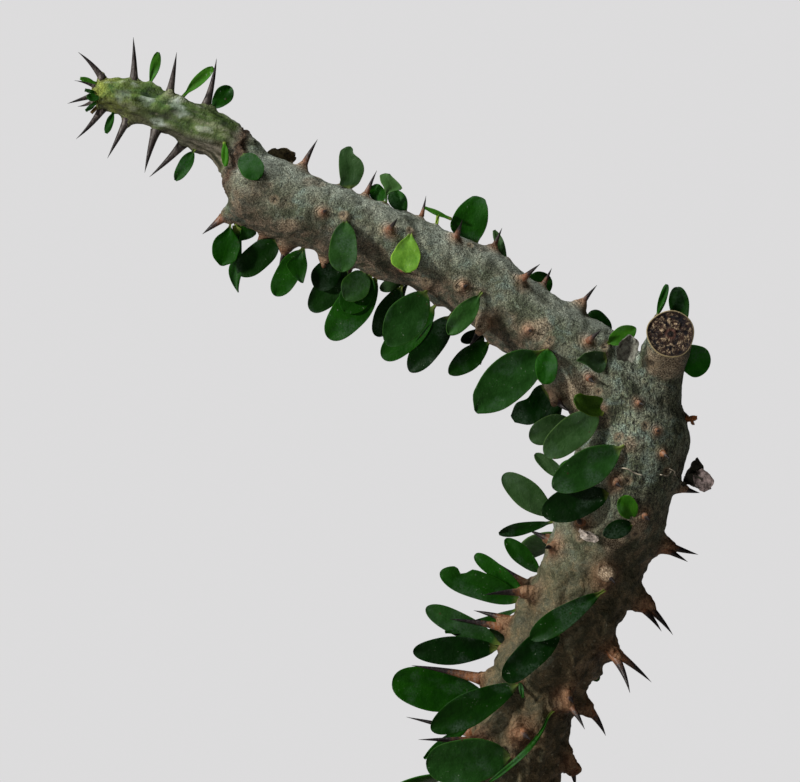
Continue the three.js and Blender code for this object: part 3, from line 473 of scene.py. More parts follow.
def circle_of(sides):
    """Cosines and sines of evenly spaced angles, and the angles."""
    angles = np.linspace(0, 2 * np.pi, sides, endpoint=False)
    return np.cos(angles), np.sin(angles), angles


# Stem centrelines


class Limb:
    """A smooth centreline with its radius, direction and two directions across it."""

    def __init__(self, rows, steps=12):
        rows = np.array(rows, float)
        stations = np.arange(0, len(rows) - 1 + 1e-6, 1 / steps)
        whole = np.minimum(stations.astype(int), len(rows) - 2)
        t = (stations - whole)[:, None]
        padded = np.vstack([2 * rows[0] - rows[1], rows, 2 * rows[-1] - rows[-2]])
        p0, p1, p2, p3 = (padded[whole + k] for k in range(4))
        spline = 0.5 * (
            2 * p1
            + (p2 - p0) * t
            + (2 * p0 - 5 * p1 + 4 * p2 - p3) * t**2
            + (3 * p1 - p0 - 3 * p2 + p3) * t**3
        )
        self.stations = stations
        self.points = spline[:, :3]
        self.radii = spline[:, 3]
        self.along = np.gradient(self.points, axis=0)
        self.along /= np.linalg.norm(self.along, axis=1, keepdims=True)
        outer = unit(np.cross([0, 1, 0], self.along[0]))
        outers = []
        for direction in self.along:
            outer = unit(outer - direction * np.dot(outer, direction))
            outers.append(outer)
        self.outer = np.array(outers)
        self.back = np.cross(self.along, self.outer)

    def on_surface(self, station, degrees):
        """The point of the skin at a station and angle, and the way out from it."""
        i = int(np.argmin(abs(self.stations - station)))
        angle = math.radians(degrees)
        out = self.outer[i] * math.cos(angle) + self.back[i] * math.sin(angle)
        return self.points[i] + out * self.radii[i], out, self.along[i]


trunk = Limb(TRUNK)
arm = Limb(ARM)
new_growth = Limb(NEW_GROWTH)
stub = Limb(STUB)
LIMBS = [trunk, arm, new_growth, stub]
ALL_POINTS = np.vstack([limb.points for limb in LIMBS])
ALL_RADII = np.concatenate([limb.radii for limb in LIMBS])
LIMB_OF = np.concatenate([np.full(len(limb.points), k) for k, limb in enumerate(LIMBS)])


def surface_at(x, z, side):
    """The skin at [x, z] seen from the front, on the given side, and the way out from it."""
    across = np.hypot(x - ALL_POINTS[:, 0], z - ALL_POINTS[:, 2])
    i = int(np.argmax(ALL_RADII - across))
    if side == FRONT and across[i] < ALL_RADII[i]:
        reach = np.sqrt(np.maximum(0, ALL_RADII**2 - across**2))
        i = int(np.argmin(np.where(across < ALL_RADII, ALL_POINTS[:, 1] - reach, np.inf)))
    depth = math.sqrt(max(0, ALL_RADII[i] ** 2 - across[i] ** 2))
    flat = [x - ALL_POINTS[i, 0], side * depth, z - ALL_POINTS[i, 2]]
    out = unit(np.array(flat) + 1e-6)
    return ALL_POINTS[i] + out * ALL_RADII[i], out


# Mesh helpers


def shell(start, rings, end):
    """Closed skin over rings of points, drawn to a point at each end."""
    sides = len(rings[0])
    points = np.vstack([[start], *rings, [end]])
    faces = []
    last = len(points) - 1
    top = last - sides
    for k in range(sides):
        n = (k + 1) % sides
        faces.append((0, 1 + n, 1 + k))
        faces.append((top + k, top + n, last))
        for i in range(len(rings) - 1):
            low = 1 + i * sides
            high = low + sides
            faces.append((low + k, low + n, high + n, high + k))
    return points, faces


def joined(parts):
    """Several (points, faces) as one."""
    points, faces, start = [], [], 0
    for p, f in parts:
        points.append(p)
        faces.extend(tuple(start + i for i in face) for face in f)
        start += len(p)
    return np.vstack(points), faces


def new_object(name, points, faces, material, smooth=True):
    """A mesh object from points in millimetres."""
    mesh = bpy.data.meshes.new(name)
    mesh.from_pydata((np.asarray(points) * MM).tolist(), [], faces)
    obj = bpy.data.objects.new(name, mesh)
    bpy.context.scene.collection.objects.link(obj)
    if material:
        mesh.materials.append(material)
    if smooth:
        mesh.shade_smooth()
    return obj


def closed_object(name, points, faces, material):
    """The same for a closed mesh, with every face turned outwards."""
    obj = new_object(name, points, faces, material)
    bm = bmesh.new()
    bm.from_mesh(obj.data)
    bmesh.ops.recalc_face_normals(bm, faces=bm.faces)
    bm.to_mesh(obj.data)
    bm.free()
    return obj


def set_floats(obj, name, values):
    """Stores a number with each point."""
    attribute = obj.data.attributes.new(name, "FLOAT", "POINT")
    attribute.data.foreach_set("value", np.asarray(values, dtype=np.float32))


def set_colours(obj, name, values):
    """Stores a colour with each point, or the same one with all."""
    attribute = obj.data.attributes.new(name, "FLOAT_COLOR", "POINT")
    rgba = np.ones((len(obj.data.vertices), 4), dtype=np.float32)
    rgba[:, :3] = values
    attribute.data.foreach_set("color", rgba.ravel())


def part(obj, slot, *nodes):
    """Marks an object as a piece of the plant or pot."""
    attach(obj, "root")
    if nodes:
        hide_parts(*nodes)


def lumps(points, size, seed, octaves=2):
    """Smooth noise from -1 to 1 at each point, in lumps about that many millimetres across."""
    offset = Vector((seed * 17.3, seed * 5.1, seed * 9.7))
    scale = 1 / size
    values = [
        noise.fractal(Vector(p) * scale + offset, 1.0, 2.0, octaves) for p in points.tolist()
    ]
    return np.array(values)


# Materials


class Shader:
    """Builds a material's nodes."""

    def __init__(self, name):
        self.material = bpy.data.materials.new(name)
        self.material.use_nodes = True
        self.tree = self.material.node_tree
        self.bsdf = self.tree.nodes["Principled BSDF"]
        self.place = self.add("ShaderNodeVectorMath", operation="SCALE")
        self.link(self.add("ShaderNodeTexCoord").outputs["Object"], self.place.inputs[0])
        self.place.inputs["Scale"].default_value = 1 / MM
        self.mm = self.place.outputs[0]

    def add(self, kind, **settings):
        node = self.tree.nodes.new(kind)
        for key, value in settings.items():
            setattr(node, key, value)
        return node

    def link(self, source, socket):
        self.tree.links.new(source, socket)

    def feed(self, socket, value):
        """Gives a socket a constant or another node's output."""
        if isinstance(value, bpy.types.NodeSocket):
            self.link(value, socket)
        elif isinstance(value, tuple) and socket.type == "RGBA":
            socket.default_value = (*value, 1)
        else:
            socket.default_value = value

    def noise(self, size, detail=3, roughness=0.55, stretch=None, distortion=0):
        """Noise from 0 to 1 in spots about that many millimetres across."""
        node = self.add("ShaderNodeTexNoise")
        place = self.mm
        if stretch:
            scaled = self.add("ShaderNodeVectorMath", operation="MULTIPLY")
            self.link(place, scaled.inputs[0])
            scaled.inputs[1].default_value = stretch
            place = scaled.outputs[0]
        self.link(place, node.inputs["Vector"])
        node.inputs["Scale"].default_value = 1 / size
        node.inputs["Detail"].default_value = detail
        node.inputs["Roughness"].default_value = roughness
        node.inputs["Distortion"].default_value = distortion
        return node.outputs["Fac"]

    def cells(self, size):
        """Distance from scattered centres about that many millimetres apart."""
        node = self.add("ShaderNodeTexVoronoi")
        self.link(self.mm, node.inputs["Vector"])
        node.inputs["Scale"].default_value = 1 / size
        return node.outputs["Distance"]

    def attribute(self, name, output="Fac"):
        return self.add("ShaderNodeAttribute", attribute_name=name).outputs[output]

    def math(self, operation, a, b=0.0, clamp=False):
        node = self.add("ShaderNodeMath", operation=operation, use_clamp=clamp)
        self.feed(node.inputs[0], a)
        self.feed(node.inputs[1], b)
        return node.outputs[0]

    def times(self, a, b):
        return self.math("MULTIPLY", a, b)

    def plus(self, a, b, clamp=False):
        return self.math("ADD", a, b, clamp)

    def rest_of(self, share):
        return self.math("SUBTRACT", 1.0, share)

    def between(self, value, low, high, to_low=0.0, to_high=1.0):
        """Maps low..high to to_low..to_high, held at both ends."""
        node = self.add("ShaderNodeMapRange", clamp=True)
        self.feed(node.inputs["Value"], value)
        node.inputs["From Min"].default_value = low
        node.inputs["From Max"].default_value = high
        node.inputs["To Min"].default_value = to_low
        node.inputs["To Max"].default_value = to_high
        return node.outputs["Result"]

    def mix(self, share, a, b, blend="MIX"):
        node = self.add("ShaderNodeMix", data_type="RGBA", blend_type=blend)
        self.feed(node.inputs["Factor"], share)
        self.feed(node.inputs[6], a)
        self.feed(node.inputs[7], b)
        return node.outputs[2]

    def tinted(self, colour, by):
        return self.mix(1.0, colour, by, "MULTIPLY")

    def ramp(self, value, stops):
        """Runs through the colours at their places from 0 to 1."""
        node = self.add("ShaderNodeValToRGB")
        self.feed(node.inputs[0], value)
        elements = node.color_ramp.elements
        while len(elements) < len(stops):
            elements.new(0.5)
        for element, (position, colour) in zip(elements, stops):
            element.position = position
            element.color = (*colour, 1)
        return node.outputs[0]

    def bump(self, height, millimetres):
        """Adds relief: a height from 0 to 1 stands that many millimetres tall."""
        node = self.add("ShaderNodeBump")
        node.inputs["Strength"].default_value = 1
        node.inputs["Distance"].default_value = millimetres * MM
        self.feed(node.inputs["Height"], height)
        if self.bsdf.inputs["Normal"].links:
            self.link(self.bsdf.inputs["Normal"].links[0].from_socket, node.inputs["Normal"])
        self.link(node.outputs[0], self.bsdf.inputs["Normal"])

    def wrinkles(self, swell, wander):
        """Rings from 0 to 1 round each swollen spine foot."""
        phase = self.plus(self.times(swell, 21), self.times(wander, 14))
        wave = self.plus(self.times(self.math("SINE", phase), 0.5), 0.5)
        fade = self.between(swell, 0.5, 1.7, 1, 0)
        return self.plus(self.times(wave, fade), self.times(self.rest_of(fade), 0.6))

    def finish(self, colour, roughness, specular=0.3):
        self.feed(self.bsdf.inputs["Base Color"], colour)
        self.feed(self.bsdf.inputs["Roughness"], roughness)
        self.bsdf.inputs["Specular IOR Level"].default_value = specular
        return self.material


def bark_fields(s):
    """The point values and noises that the parts of the bark share."""
    names = ("warm", "young", "under", "low", "scar", "ribs", "grooved")
    f = SimpleNamespace(**{name: s.attribute(name) for name in names})
    f.patches = s.noise(9, 3, 0.6)
    f.stains = s.noise(5, 4, 0.65, distortion=0.8)
    f.streaks = s.noise(3, 4, 0.65, distortion=0.6)
    f.grain = s.noise(0.35, 3, 0.65)
    f.speckle = s.noise(0.25, 2, 0.7)
    f.hatch = s.noise(0.62, 3, 0.65, stretch=(1.0, 1.0, 0.4), distortion=1.0)
    f.wrinkle = s.wrinkles(s.attribute("swell"), f.streaks)
    f.smooth = s.math("MAXIMUM", s.times(f.low, 0.55), s.times(f.warm, 0.8))
    return f


def old_bark(s, f):
    """Waxy grey-green bark with painted light on top; olive low and underneath, partly painted shade; warm
    spine feet.
    """
    grey = s.mix(s.between(f.patches, 0.38, 0.6), (0.12, 0.145, 0.09), (0.2, 0.205, 0.145))
    wax = s.times(s.between(f.stains, 0.46, 0.6), s.between(f.patches, 0.42, 0.55, 0.9, 0.35))
    grey = s.mix(wax, grey, (0.19, 0.25, 0.215))
    # Painted light: bark that faces up is made paler.
    grey = s.mix(s.times(s.attribute("top"), 0.9), grey, (0.38, 0.41, 0.35))
    olive = s.mix(s.between(f.streaks, 0.4, 0.62), (0.045, 0.038, 0.017), (0.19, 0.155, 0.095))
    # Olive-brown low down and underneath; underneath it is partly painted shade.
    browning_and_shade = s.plus(s.times(f.under, 0.65), s.times(f.low, 0.85))
    browning_and_shade = s.plus(browning_and_shade, s.between(f.streaks, 0.52, 0.68, -0.1, 0.3), clamp=True)
    colour = s.mix(browning_and_shade, grey, olive)
    # Pale pinkish blush underneath, partly painted light.
    blush_and_light = s.times(s.between(f.streaks, 0.45, 0.6), s.between(f.under, 0.3, 0.9, 0, 0.7))
    colour = s.mix(blush_and_light, colour, (0.38, 0.27, 0.195))
    rust = s.mix(s.between(f.streaks, 0.4, 0.6), (0.075, 0.05, 0.032), (0.27, 0.19, 0.13))
    colour = s.mix(s.times(s.attribute("brown"), 0.5), colour, rust)
    foot = s.mix(s.between(f.streaks, 0.4, 0.62), (0.2, 0.075, 0.032), (0.42, 0.25, 0.16))
    colour = s.mix(s.between(f.warm, 0.08, 0.85, 0, 0.85), colour, foot)
    dark = s.times(s.between(f.stains, 0.36, 0.48, 0.65, 0), s.rest_of(f.warm))
    return s.mix(dark, colour, (0.03, 0.038, 0.018))


def green_bark(s, f):
    """The new growth's green ribs, which turn woody towards the arm."""
    # Dark in the hollows between ribs and pale on their crests: partly painted shade and painted highlight.
    green = s.ramp(
        f.ribs,
        [
            (0.3, (0.008, 0.03, 0.003)),
            (0.45, (0.045, 0.11, 0.012)),
            (0.58, (0.14, 0.215, 0.06)),
            (0.72, (0.46, 0.53, 0.38)),
        ],
    )
    green = s.mix(s.between(f.stains, 0.42, 0.62, 0, 0.55), green, (0.085, 0.15, 0.02))
    green = s.mix(s.times(f.under, 0.85), green, (0.085, 0.075, 0.05))
    wood = s.ramp(
        s.attribute("fibre"),
        [(0.34, (0.018, 0.014, 0.007)), (0.5, (0.095, 0.085, 0.05)), (0.66, (0.34, 0.3, 0.24))],
    )
    green = s.mix(s.times(s.attribute("woody"), 0.9), green, wood)
    fresh = s.times(s.attribute("fresh"), s.between(f.stains, 0.35, 0.6))
    green = s.mix(fresh, green, (0.25, 0.3, 0.045))
    # Whitish spots, partly wax bloom and partly painted highlight.
    whitish = s.times(s.attribute("bloom"), s.between(f.ribs, 0.35, 0.62, 0.15, 0.8))
    green = s.mix(whitish, green, (0.46, 0.53, 0.5))
    return s.mix(s.between(f.warm, 0.0, 0.15, 0, 0.55), green, (0.27, 0.25, 0.17))


def weathered_and_shaded(s, f, colour):
    """Darkens the bark by its grain, its hatching and the rings round its spine feet; makes it darker and
    yellower low down and paints shade where it faces down.
    """
    flecks = s.between(f.grain, 0.37, 0.62, 0.4, 1.5)
    flecks = s.times(flecks, s.between(f.speckle, 0.37, 0.62, 0.55, 1.4))
    grooves = s.plus(s.times(s.between(f.hatch, 0.38, 0.55, -0.85, 0.6), f.grooved), 1.0)
    flecks = s.times(flecks, grooves)
    flecks = s.times(flecks, s.between(f.wrinkle, 0.2, 0.7, 0.8, 1.05))
    shade = s.add("ShaderNodeMix", data_type="FLOAT")
    s.feed(shade.inputs[0], s.math("MAXIMUM", s.times(f.young, 0.7), f.smooth))
    s.feed(shade.inputs[2], flecks)
    shade.inputs[3].default_value = 1.0
    weathered_and_shaded = s.times(shade.outputs[0], s.between(f.low, 0.0, 0.7, 1, 0.8))
    # Painted shade: the bark darkens where it faces down.
    weathered_and_shaded = s.times(weathered_and_shaded, s.between(f.under, 0.0, 0.8, 1, 0.62))
    value = s.add("ShaderNodeCombineColor")
    for socket, share in zip(value.inputs, (1, 0.93, 0.8)):
        s.link(s.times(weathered_and_shaded, s.between(f.low, 0.0, 0.7, 1, share)), socket)
    return s.tinted(colour, value.outputs[0])


def marked(s, f, colour):
    """Adds pale dots, pits, sandy patches (two of them partly painted light), scars and the crevice of the
    ring.
    """
    pale = s.times(s.between(s.cells(2.1), 0.03, 0.2, 0.85, 0), s.between(f.patches, 0.45, 0.6))
    colour = s.mix(pale, colour, (0.3, 0.28, 0.2))
    large_pits = s.between(s.cells(3.1), 0.03, 0.14, 0.9, 0)
    small_pits = s.between(s.cells(1.9), 0.04, 0.13, 0.8, 0)
    pits = s.times(s.math("MAXIMUM", large_pits, small_pits), s.between(f.smooth, 0.2, 0.7, 1, 0))
    colour = s.mix(pits, colour, (0.02, 0.016, 0.012))
    sand = s.ramp(
        f.grain, [(0.37, (0.06, 0.043, 0.03)), (0.5, (0.27, 0.2, 0.13)), (0.64, (0.6, 0.49, 0.36))]
    )
    # Sandy bark; two of its patches are partly painted light.
    colour = s.mix(s.times(s.attribute("sandy_and_lit"), 0.8), colour, sand)
    centre = s.plus(f.scar, s.between(f.grain, 0.38, 0.62, -0.4, 0.3))
    specks = s.mix(s.between(centre, 0.45, 0.8), (0.34, 0.26, 0.17), (0.028, 0.019, 0.013))
    colour = s.mix(s.between(f.scar, 0.12, 0.6, 0, 0.85), colour, specks)
    crevice = s.ramp(f.grain, [(0.38, (0.018, 0.01, 0.006)), (0.62, (0.13, 0.075, 0.045))])
    return s.mix(s.attribute("ring"), colour, crevice)


def bark_material():
    s = Shader("bark")
    f = bark_fields(s)
    colour = s.mix(f.young, old_bark(s, f), green_bark(s, f))
    colour = marked(s, f, weathered_and_shaded(s, f, colour))
    rough = s.rest_of(s.times(f.smooth, 0.8))
    s.bump(s.noise(2.2, 3, 0.6), 1.1)
    s.bump(s.times(f.hatch, f.grooved), 0.7)
    s.bump(s.times(f.grain, rough), 0.38)
    s.bump(s.times(f.speckle, rough), 0.2)
    s.bump(f.wrinkle, 0.2)
    gloss = s.math("SUBTRACT", s.between(f.grain, 0.3, 0.7, 0.75, 0.5), s.times(f.young, 0.14))
    return s.finish(colour, gloss, 0.3)


def spine_material():
    s = Shader("spine")
    reach = s.attribute("reach")
    root = s.attribute("root", "Color")
    wander = s.plus(reach, s.between(s.noise(1.1, 3), 0.3, 0.7, -0.12, 0.12))
    colour = s.mix(s.between(wander, 0.2, 0.46), root, (0.026, 0.018, 0.019))
    colour = s.mix(s.between(wander, 0.42, 0.72), colour, (0.007, 0.005, 0.006))
    mottle = s.between(s.noise(0.5, 3, 0.7), 0.4, 0.62)
    colour = s.mix(s.times(mottle, 0.4), colour, (0.012, 0.008, 0.009))
    streak = s.between(s.noise(0.7, 3, 0.6, stretch=(1, 1, 0.3)), 0.5, 0.62)
    streak = s.times(streak, s.between(reach, 0.1, 0.55, 0.42, 0))
    colour = s.mix(streak, colour, (0.3, 0.26, 0.24))
    s.bump(s.noise(0.6, 3, 0.6, stretch=(1, 1, 0.4)), 0.2)
    return s.finish(colour, s.between(mottle, 0, 1, 0.5, 0.36), 0.3)


def leaf_material():
    s = Shader("leaf")
    tint = s.attribute("tint", "Color")
    along = s.attribute("along")
    across = s.attribute("across")
    cloud = s.noise(3.4, 4, 0.6)
    fine = s.noise(0.5, 3, 0.65)
    darker = s.tinted(tint, (0.6, 0.72, 0.5))
    lighter = s.tinted(tint, (1.35, 1.25, 1.3))
    colour = s.mix(s.between(cloud, 0.34, 0.68), darker, lighter)
    colour = s.mix(s.between(fine, 0.4, 0.65, 0, 0.35), colour, darker)
    edge = s.between(across, 0.92, 1.0, 0, 0.75)
    colour = s.mix(edge, colour, s.tinted(tint, (2.6, 2.0, 1.6)))
    midrib = s.between(across, 0.0, 0.07, 0.3, 0)
    colour = s.mix(midrib, colour, lighter)
    stalk = s.between(along, 0.03, 0.14, 0.8, 0)
    colour = s.mix(stalk, colour, (0.19, 0.24, 0.05))
    sheen = s.times(s.between(s.noise(6.5, 2, 0.5), 0.5, 0.66), s.between(fine, 0.35, 0.6))
    colour = s.mix(s.times(sheen, 0.3), colour, (0.085, 0.13, 0.1))
    specks = s.times(s.between(s.cells(3.6), 0.05, 0.11, 0.85, 0), s.between(cloud, 0.46, 0.56))
    colour = s.mix(specks, colour, (0.035, 0.022, 0.01))
    dust = s.times(s.between(s.noise(0.55, 2, 0.5), 0.66, 0.74), s.between(cloud, 0.5, 0.66))
    colour = s.mix(s.times(dust, 0.6), colour, (0.3, 0.34, 0.28))
    s.bump(cloud, 0.4)
    s.bump(fine, 0.08)
    return s.finish(colour, s.between(cloud, 0.3, 0.7, 0.52, 0.38), 0.06)


def dried_material():
    s = Shader("dried_leaf")
    cloud = s.noise(1.6, 4, 0.7)
    colour = s.mix(
        s.between(cloud, 0.36, 0.64), s.attribute("tint", "Color"), (0.025, 0.02, 0.016)
    )
    s.bump(s.noise(0.8, 3, 0.6), 0.3)
    return s.finish(colour, s.between(cloud, 0.3, 0.7, 0.9, 0.65), 0.25)


def cut_material():
    s = Shader("cut_wood")
    rim = s.attribute("rim")
    fibre = s.noise(1.9, 4, 0.7, distortion=0.8)
    specks = s.noise(0.75, 4, 0.8)
    dark = s.mix(s.between(fibre, 0.4, 0.6), (0.005, 0.005, 0.008), (0.045, 0.024, 0.017))
    tan = s.times(s.between(specks, 0.52, 0.58), s.between(fibre, 0.44, 0.54))
    colour = s.mix(tan, dark, (0.42, 0.31, 0.2))
    pith_ring = s.times(s.between(rim, 0.1, 0.16), s.between(rim, 0.2, 0.27, 1, 0))
    colour = s.mix(s.times(pith_ring, 0.7), colour, (0.13, 0.06, 0.045))
    colour = s.mix(s.between(rim, 0.1, 0.15, 0.95, 0), colour, (0.008, 0.006, 0.006))
    gap = s.times(s.between(rim, 0.86, 0.9), s.between(rim, 0.95, 0.965, 1, 0))
    colour = s.mix(s.times(gap, 0.75), colour, (0.018, 0.01, 0.007))
    colour = s.mix(s.between(rim, 0.955, 0.97), colour, (0.34, 0.27, 0.15))
    s.bump(specks, 0.4)
    s.bump(fibre, 0.3)
    return s.finish(colour, s.between(specks, 0.4, 0.6, 0.95, 0.7), 0.2)


def clay_material():
    s = Shader("clay")
    cloud = s.noise(38, 4, 0.6)
    grain = s.noise(0.9, 4, 0.7)
    bands = s.noise(9, 3, 0.6, stretch=(0.25, 0.25, 2.2))
    height = s.add("ShaderNodeSeparateXYZ")
    s.link(s.mm, height.inputs[0])
    colour = s.mix(s.between(cloud, 0.35, 0.65), (0.46, 0.165, 0.075), (0.56, 0.235, 0.12))
    colour = s.mix(s.between(bands, 0.4, 0.66, 0, 0.35), colour, (0.36, 0.115, 0.05))
    z = height.outputs[2]
    bloom = s.plus(s.between(z, 0, 40, 0.5, 0), s.between(z, 128, POT_HEIGHT, 0, 0.35))
    bloom = s.times(bloom, s.between(s.noise(14, 5, 0.7), 0.46, 0.66))
    colour = s.mix(bloom, colour, (0.62, 0.5, 0.42))
    colour = s.mix(s.between(grain, 0.3, 0.46, 0.45, 0), colour, (0.24, 0.075, 0.035))
    s.bump(grain, 0.3)
    s.bump(bands, 0.25)
    return s.finish(colour, s.between(cloud, 0.3, 0.7, 0.88, 0.72), 0.3)


def soil_material():
    s = Shader("potting_mix")
    grain = s.noise(1.3, 5, 0.8)
    clods = s.noise(7, 4, 0.65)
    colour = s.ramp(
        grain,
        [(0.34, (0.008, 0.006, 0.004)), (0.5, (0.035, 0.024, 0.016)), (0.68, (0.09, 0.062, 0.04))],
    )
    colour = s.mix(s.between(clods, 0.5, 0.7, 0, 0.5), colour, (0.075, 0.055, 0.038))
    s.bump(grain, 1.0)
    s.bump(clods, 1.2)
    return s.finish(colour, s.between(grain, 0.3, 0.7, 0.98, 0.85), 0.15)


def grit_material():
    s = Shader("grit")
    tint = s.attribute("tint", "Color")
    grain = s.noise(0.6, 4, 0.7)
    pores = s.between(s.cells(0.8), 0.1, 0.3)
    colour = s.mix(s.between(grain, 0.35, 0.65), s.tinted(tint, (0.55, 0.55, 0.55)), tint)
    colour = s.mix(s.rest_of(pores), colour, s.tinted(tint, (0.3, 0.28, 0.26)))
    s.bump(grain, 0.3)
    s.bump(pores, 0.2)
    return s.finish(colour, s.between(grain, 0.3, 0.7, 0.95, 0.8), 0.2)


# Stem


def limb_mesh(limb, sides, ribs=0, rib_height=0.0, twist=0.0, lumpiness=0.03, seed=0):
    """A closed tube along a limb, uneven all round and ribbed if asked."""
    cos, sin, angles = circle_of(sides)
    rings = []
    for i, centre in enumerate(limb.points):
        shape = 1 + rib_height * np.cos(ribs * (angles + twist * limb.stations[i]))
        shape = shape + lumpiness * np.sin(2 * angles + 0.21 * i + seed)
        shape = shape + lumpiness * 0.7 * np.sin(3 * angles - 0.13 * i + 2 * seed)
        around = np.outer(cos, limb.outer[i]) + np.outer(sin, limb.back[i])
        rings.append(centre + around * (limb.radii[i] * shape)[:, None])
    return shell(limb.points[0], rings, limb.points[-1])


def tubercle(base, out, radius, height, shank):
    """The flared foot of a spine, sunk a little in the bark."""
    side = unit(np.cross(out, [0.3, 0.9, 0.2]))
    cos, sin, _ = circle_of(16)
    circle = np.outer(cos, side) + np.outer(sin, np.cross(out, side))
    profile = [
        (radius, -0.55 * radius),
        (0.84 * radius, -0.25 * radius),
        (0.62 * radius, 0.05 * height),
        (0.42 * radius + 0.2 * shank, 0.33 * height),
        (0.22 * radius + 0.55 * shank, 0.66 * height),
        (1.15 * shank, height),
        (0.8 * shank, height + 1.2 * shank),
    ]
    rings = [base + out * h + circle * r for r, h in profile]
    return shell(base - out * 0.6 * radius, rings, base + out * (height + 1.6 * shank))


def cushion(base, out, width, height):
    """The long rib that runs down the new growth from a spine."""
    index, _ = nearest(base[None], new_growth.points)
    down = -new_growth.along[index[0]]
    down = unit(down - out * np.dot(down, out))
    cos, sin, _ = circle_of(16)
    circle = np.outer(cos * width, np.cross(out, down)) + np.outer(sin * height, out)
    rings = []
    for share in np.linspace(0.03, 0.97, 12):
        centre = base + down * (share - 0.15) * CUSHION_LENGTH - out * 0.5 * height
        rings.append(centre + circle * math.sin(math.pi * share**0.6))
    start = base - down * 0.15 * CUSHION_LENGTH - out * 0.5 * height
    return shell(start, rings, start + down * CUSHION_LENGTH)


def spine_mesh(base, out, tip, shank):
    """A spine that leaves the bark squarely and bends to its tip, and each point's way along it."""
    sides, steps, thinnest = 10, 14, 0.045
    span = tip - base
    control = base + unit(out + 0.6 * unit(span)) * 0.5 * np.linalg.norm(span)
    cos, sin, _ = circle_of(sides)
    side = unit(np.cross(span, [0.31, 0.9, 0.27]))
    rings, reach = [], []
    for t in np.linspace(0, 0.985, steps):
        centre = (1 - t) ** 2 * base + 2 * t * (1 - t) * control + t**2 * tip
        along = unit(2 * (1 - t) * (control - base) + 2 * t * (tip - control))
        across = unit(side - along * np.dot(side, along))
        circle = np.outer(cos, across) + np.outer(sin, np.cross(along, across))
        radius = shank * ((1 - t) ** 0.9 + 0.2 * math.exp(-t / 0.1))
        rings.append(centre + circle * max(radius, thinnest))
        reach.extend([t] * sides)
    points, faces = shell(base - unit(out) * 0.5, rings, tip)
    return points, faces, [0, *reach, 1]


SPINE_ROOTS = {
    "bud": (0.055, 0.045, 0.042),
    "arm": (0.2, 0.08, 0.04),
    "trunk": (0.3, 0.125, 0.055),
}


class Spine(namedtuple("Spine", "base out tip radius height shank")):
    """A spine's base, the way out there, its tip, its foot's radius and height, its own radius."""

    @property
    def toward(self):
        """The way that the foot leans, between straight out and the tip."""
        return unit(self.out + 0.8 * unit(self.tip - self.base))


def start_at(x, z, tip_x, tip_z, side):
    """Where something starts that the front shows at [x, z], and the way out there."""
    base, out = surface_at(x, z, EDGE if side == HELD else side)
    if side == HELD:
        return np.array([x, base[1], z]), unit(np.array([tip_x - x, 0, tip_z - z]))
    return base, out


def spine_from_front(x, z, tip_x, tip_z, side, lean, radius, height, shank):
    base, out = start_at(x, z, tip_x, tip_z, side)
    tip = np.array([tip_x, base[1] + lean + out[1] * height, tip_z])
    return Spine(base, out, tip, radius, height, shank)


def spine_round(limb, station, degrees, length):
    base, out, along = limb.on_surface(station, degrees)
    size = length / 13
    return Spine(base, out, base + unit(out - 0.35 * along) * length, 5 * size, 4 * size, 1.3 * size)


def spine_set(rows, limb=None, hidden=()):
    return [spine_from_front(*row) for row in rows] + [spine_round(limb, *row) for row in hidden]


spine_sets = {
    "bud": spine_set(BUD_SPINES),
    "arm": spine_set(ARM_SPINES, arm, HIDDEN_ARM_SPINES),
    "trunk": spine_set(TRUNK_SPINES, trunk, HIDDEN_TRUNK_SPINES),
}
all_spines = [spine for spines in spine_sets.values() for spine in spines]
FOOT_SPANS = np.array([spine.radius for spine in all_spines])


def build_spines(kind, spines, material):
    parts, reach = [], []
    for spine in spines:
        start = spine.base + spine.toward * 0.35 * spine.height
        points, faces, shares = spine_mesh(start, spine.toward, spine.tip, spine.shank)
        parts.append((points, faces))
        reach.extend(shares)
    obj = closed_object(kind + "_spines", *joined(parts), material)
    set_floats(obj, "reach", reach)
    set_colours(obj, "root", SPINE_ROOTS[kind])
    part(obj, "bark")


def nearest(points, targets):
    """Index of and distance to the nearest target of each point."""
    chunk = 20000
    index, distance = [], []
    for i in range(0, len(points), chunk):
        gap = np.linalg.norm(points[i : i + chunk, None] - targets[None], axis=2)
        index.append(gap.argmin(1))
        distance.append(gap.min(1))
    return np.concatenate(index), np.concatenate(distance)


def flow_along(points):
    """Places on the new growth's skin, drawn out along it, for noise that runs like its ribs."""
    twist, radius, squeeze = 0.03, 2.1, 0.1
    index, _ = nearest(points, new_growth.points)
    away = points - new_growth.points[index]
    angle = np.arctan2(
        np.sum(away * new_growth.back[index], axis=1), np.sum(away * new_growth.outer[index], axis=1)
    )
    length = points @ unit(new_growth.points[-1] - new_growth.points[0])
    angle = angle + twist * length
    return np.column_stack([radius * np.cos(angle), radius * np.sin(angle), squeeze * length])


def seen_at(points, places):
    """For each [x, z, ...], the point of the skin that the viewer sees there."""
    within, penalty = 0.8, 50
    seen = []
    for x, z, *_ in places:
        across = np.hypot(points[:, 0] - x, points[:, 2] - z)
        seen.append(points[np.argmin(points[:, 1] + penalty * np.maximum(0, across - within))])
    return np.array(seen)


def patches_at(points, places, wander, size, seed):
    """From 0 to 1 within uneven round patches, each [x, z, radius]."""
    share = np.zeros(len(points))
    uneven = wander * lumps(points, size, seed)
    for (_, _, span), centre in zip(places, seen_at(points, places)):
        away = np.linalg.norm(points - centre, axis=1) + uneven
        share = np.maximum(share, smoothstep(1.15 * span, 0.5 * span, away))
    return share


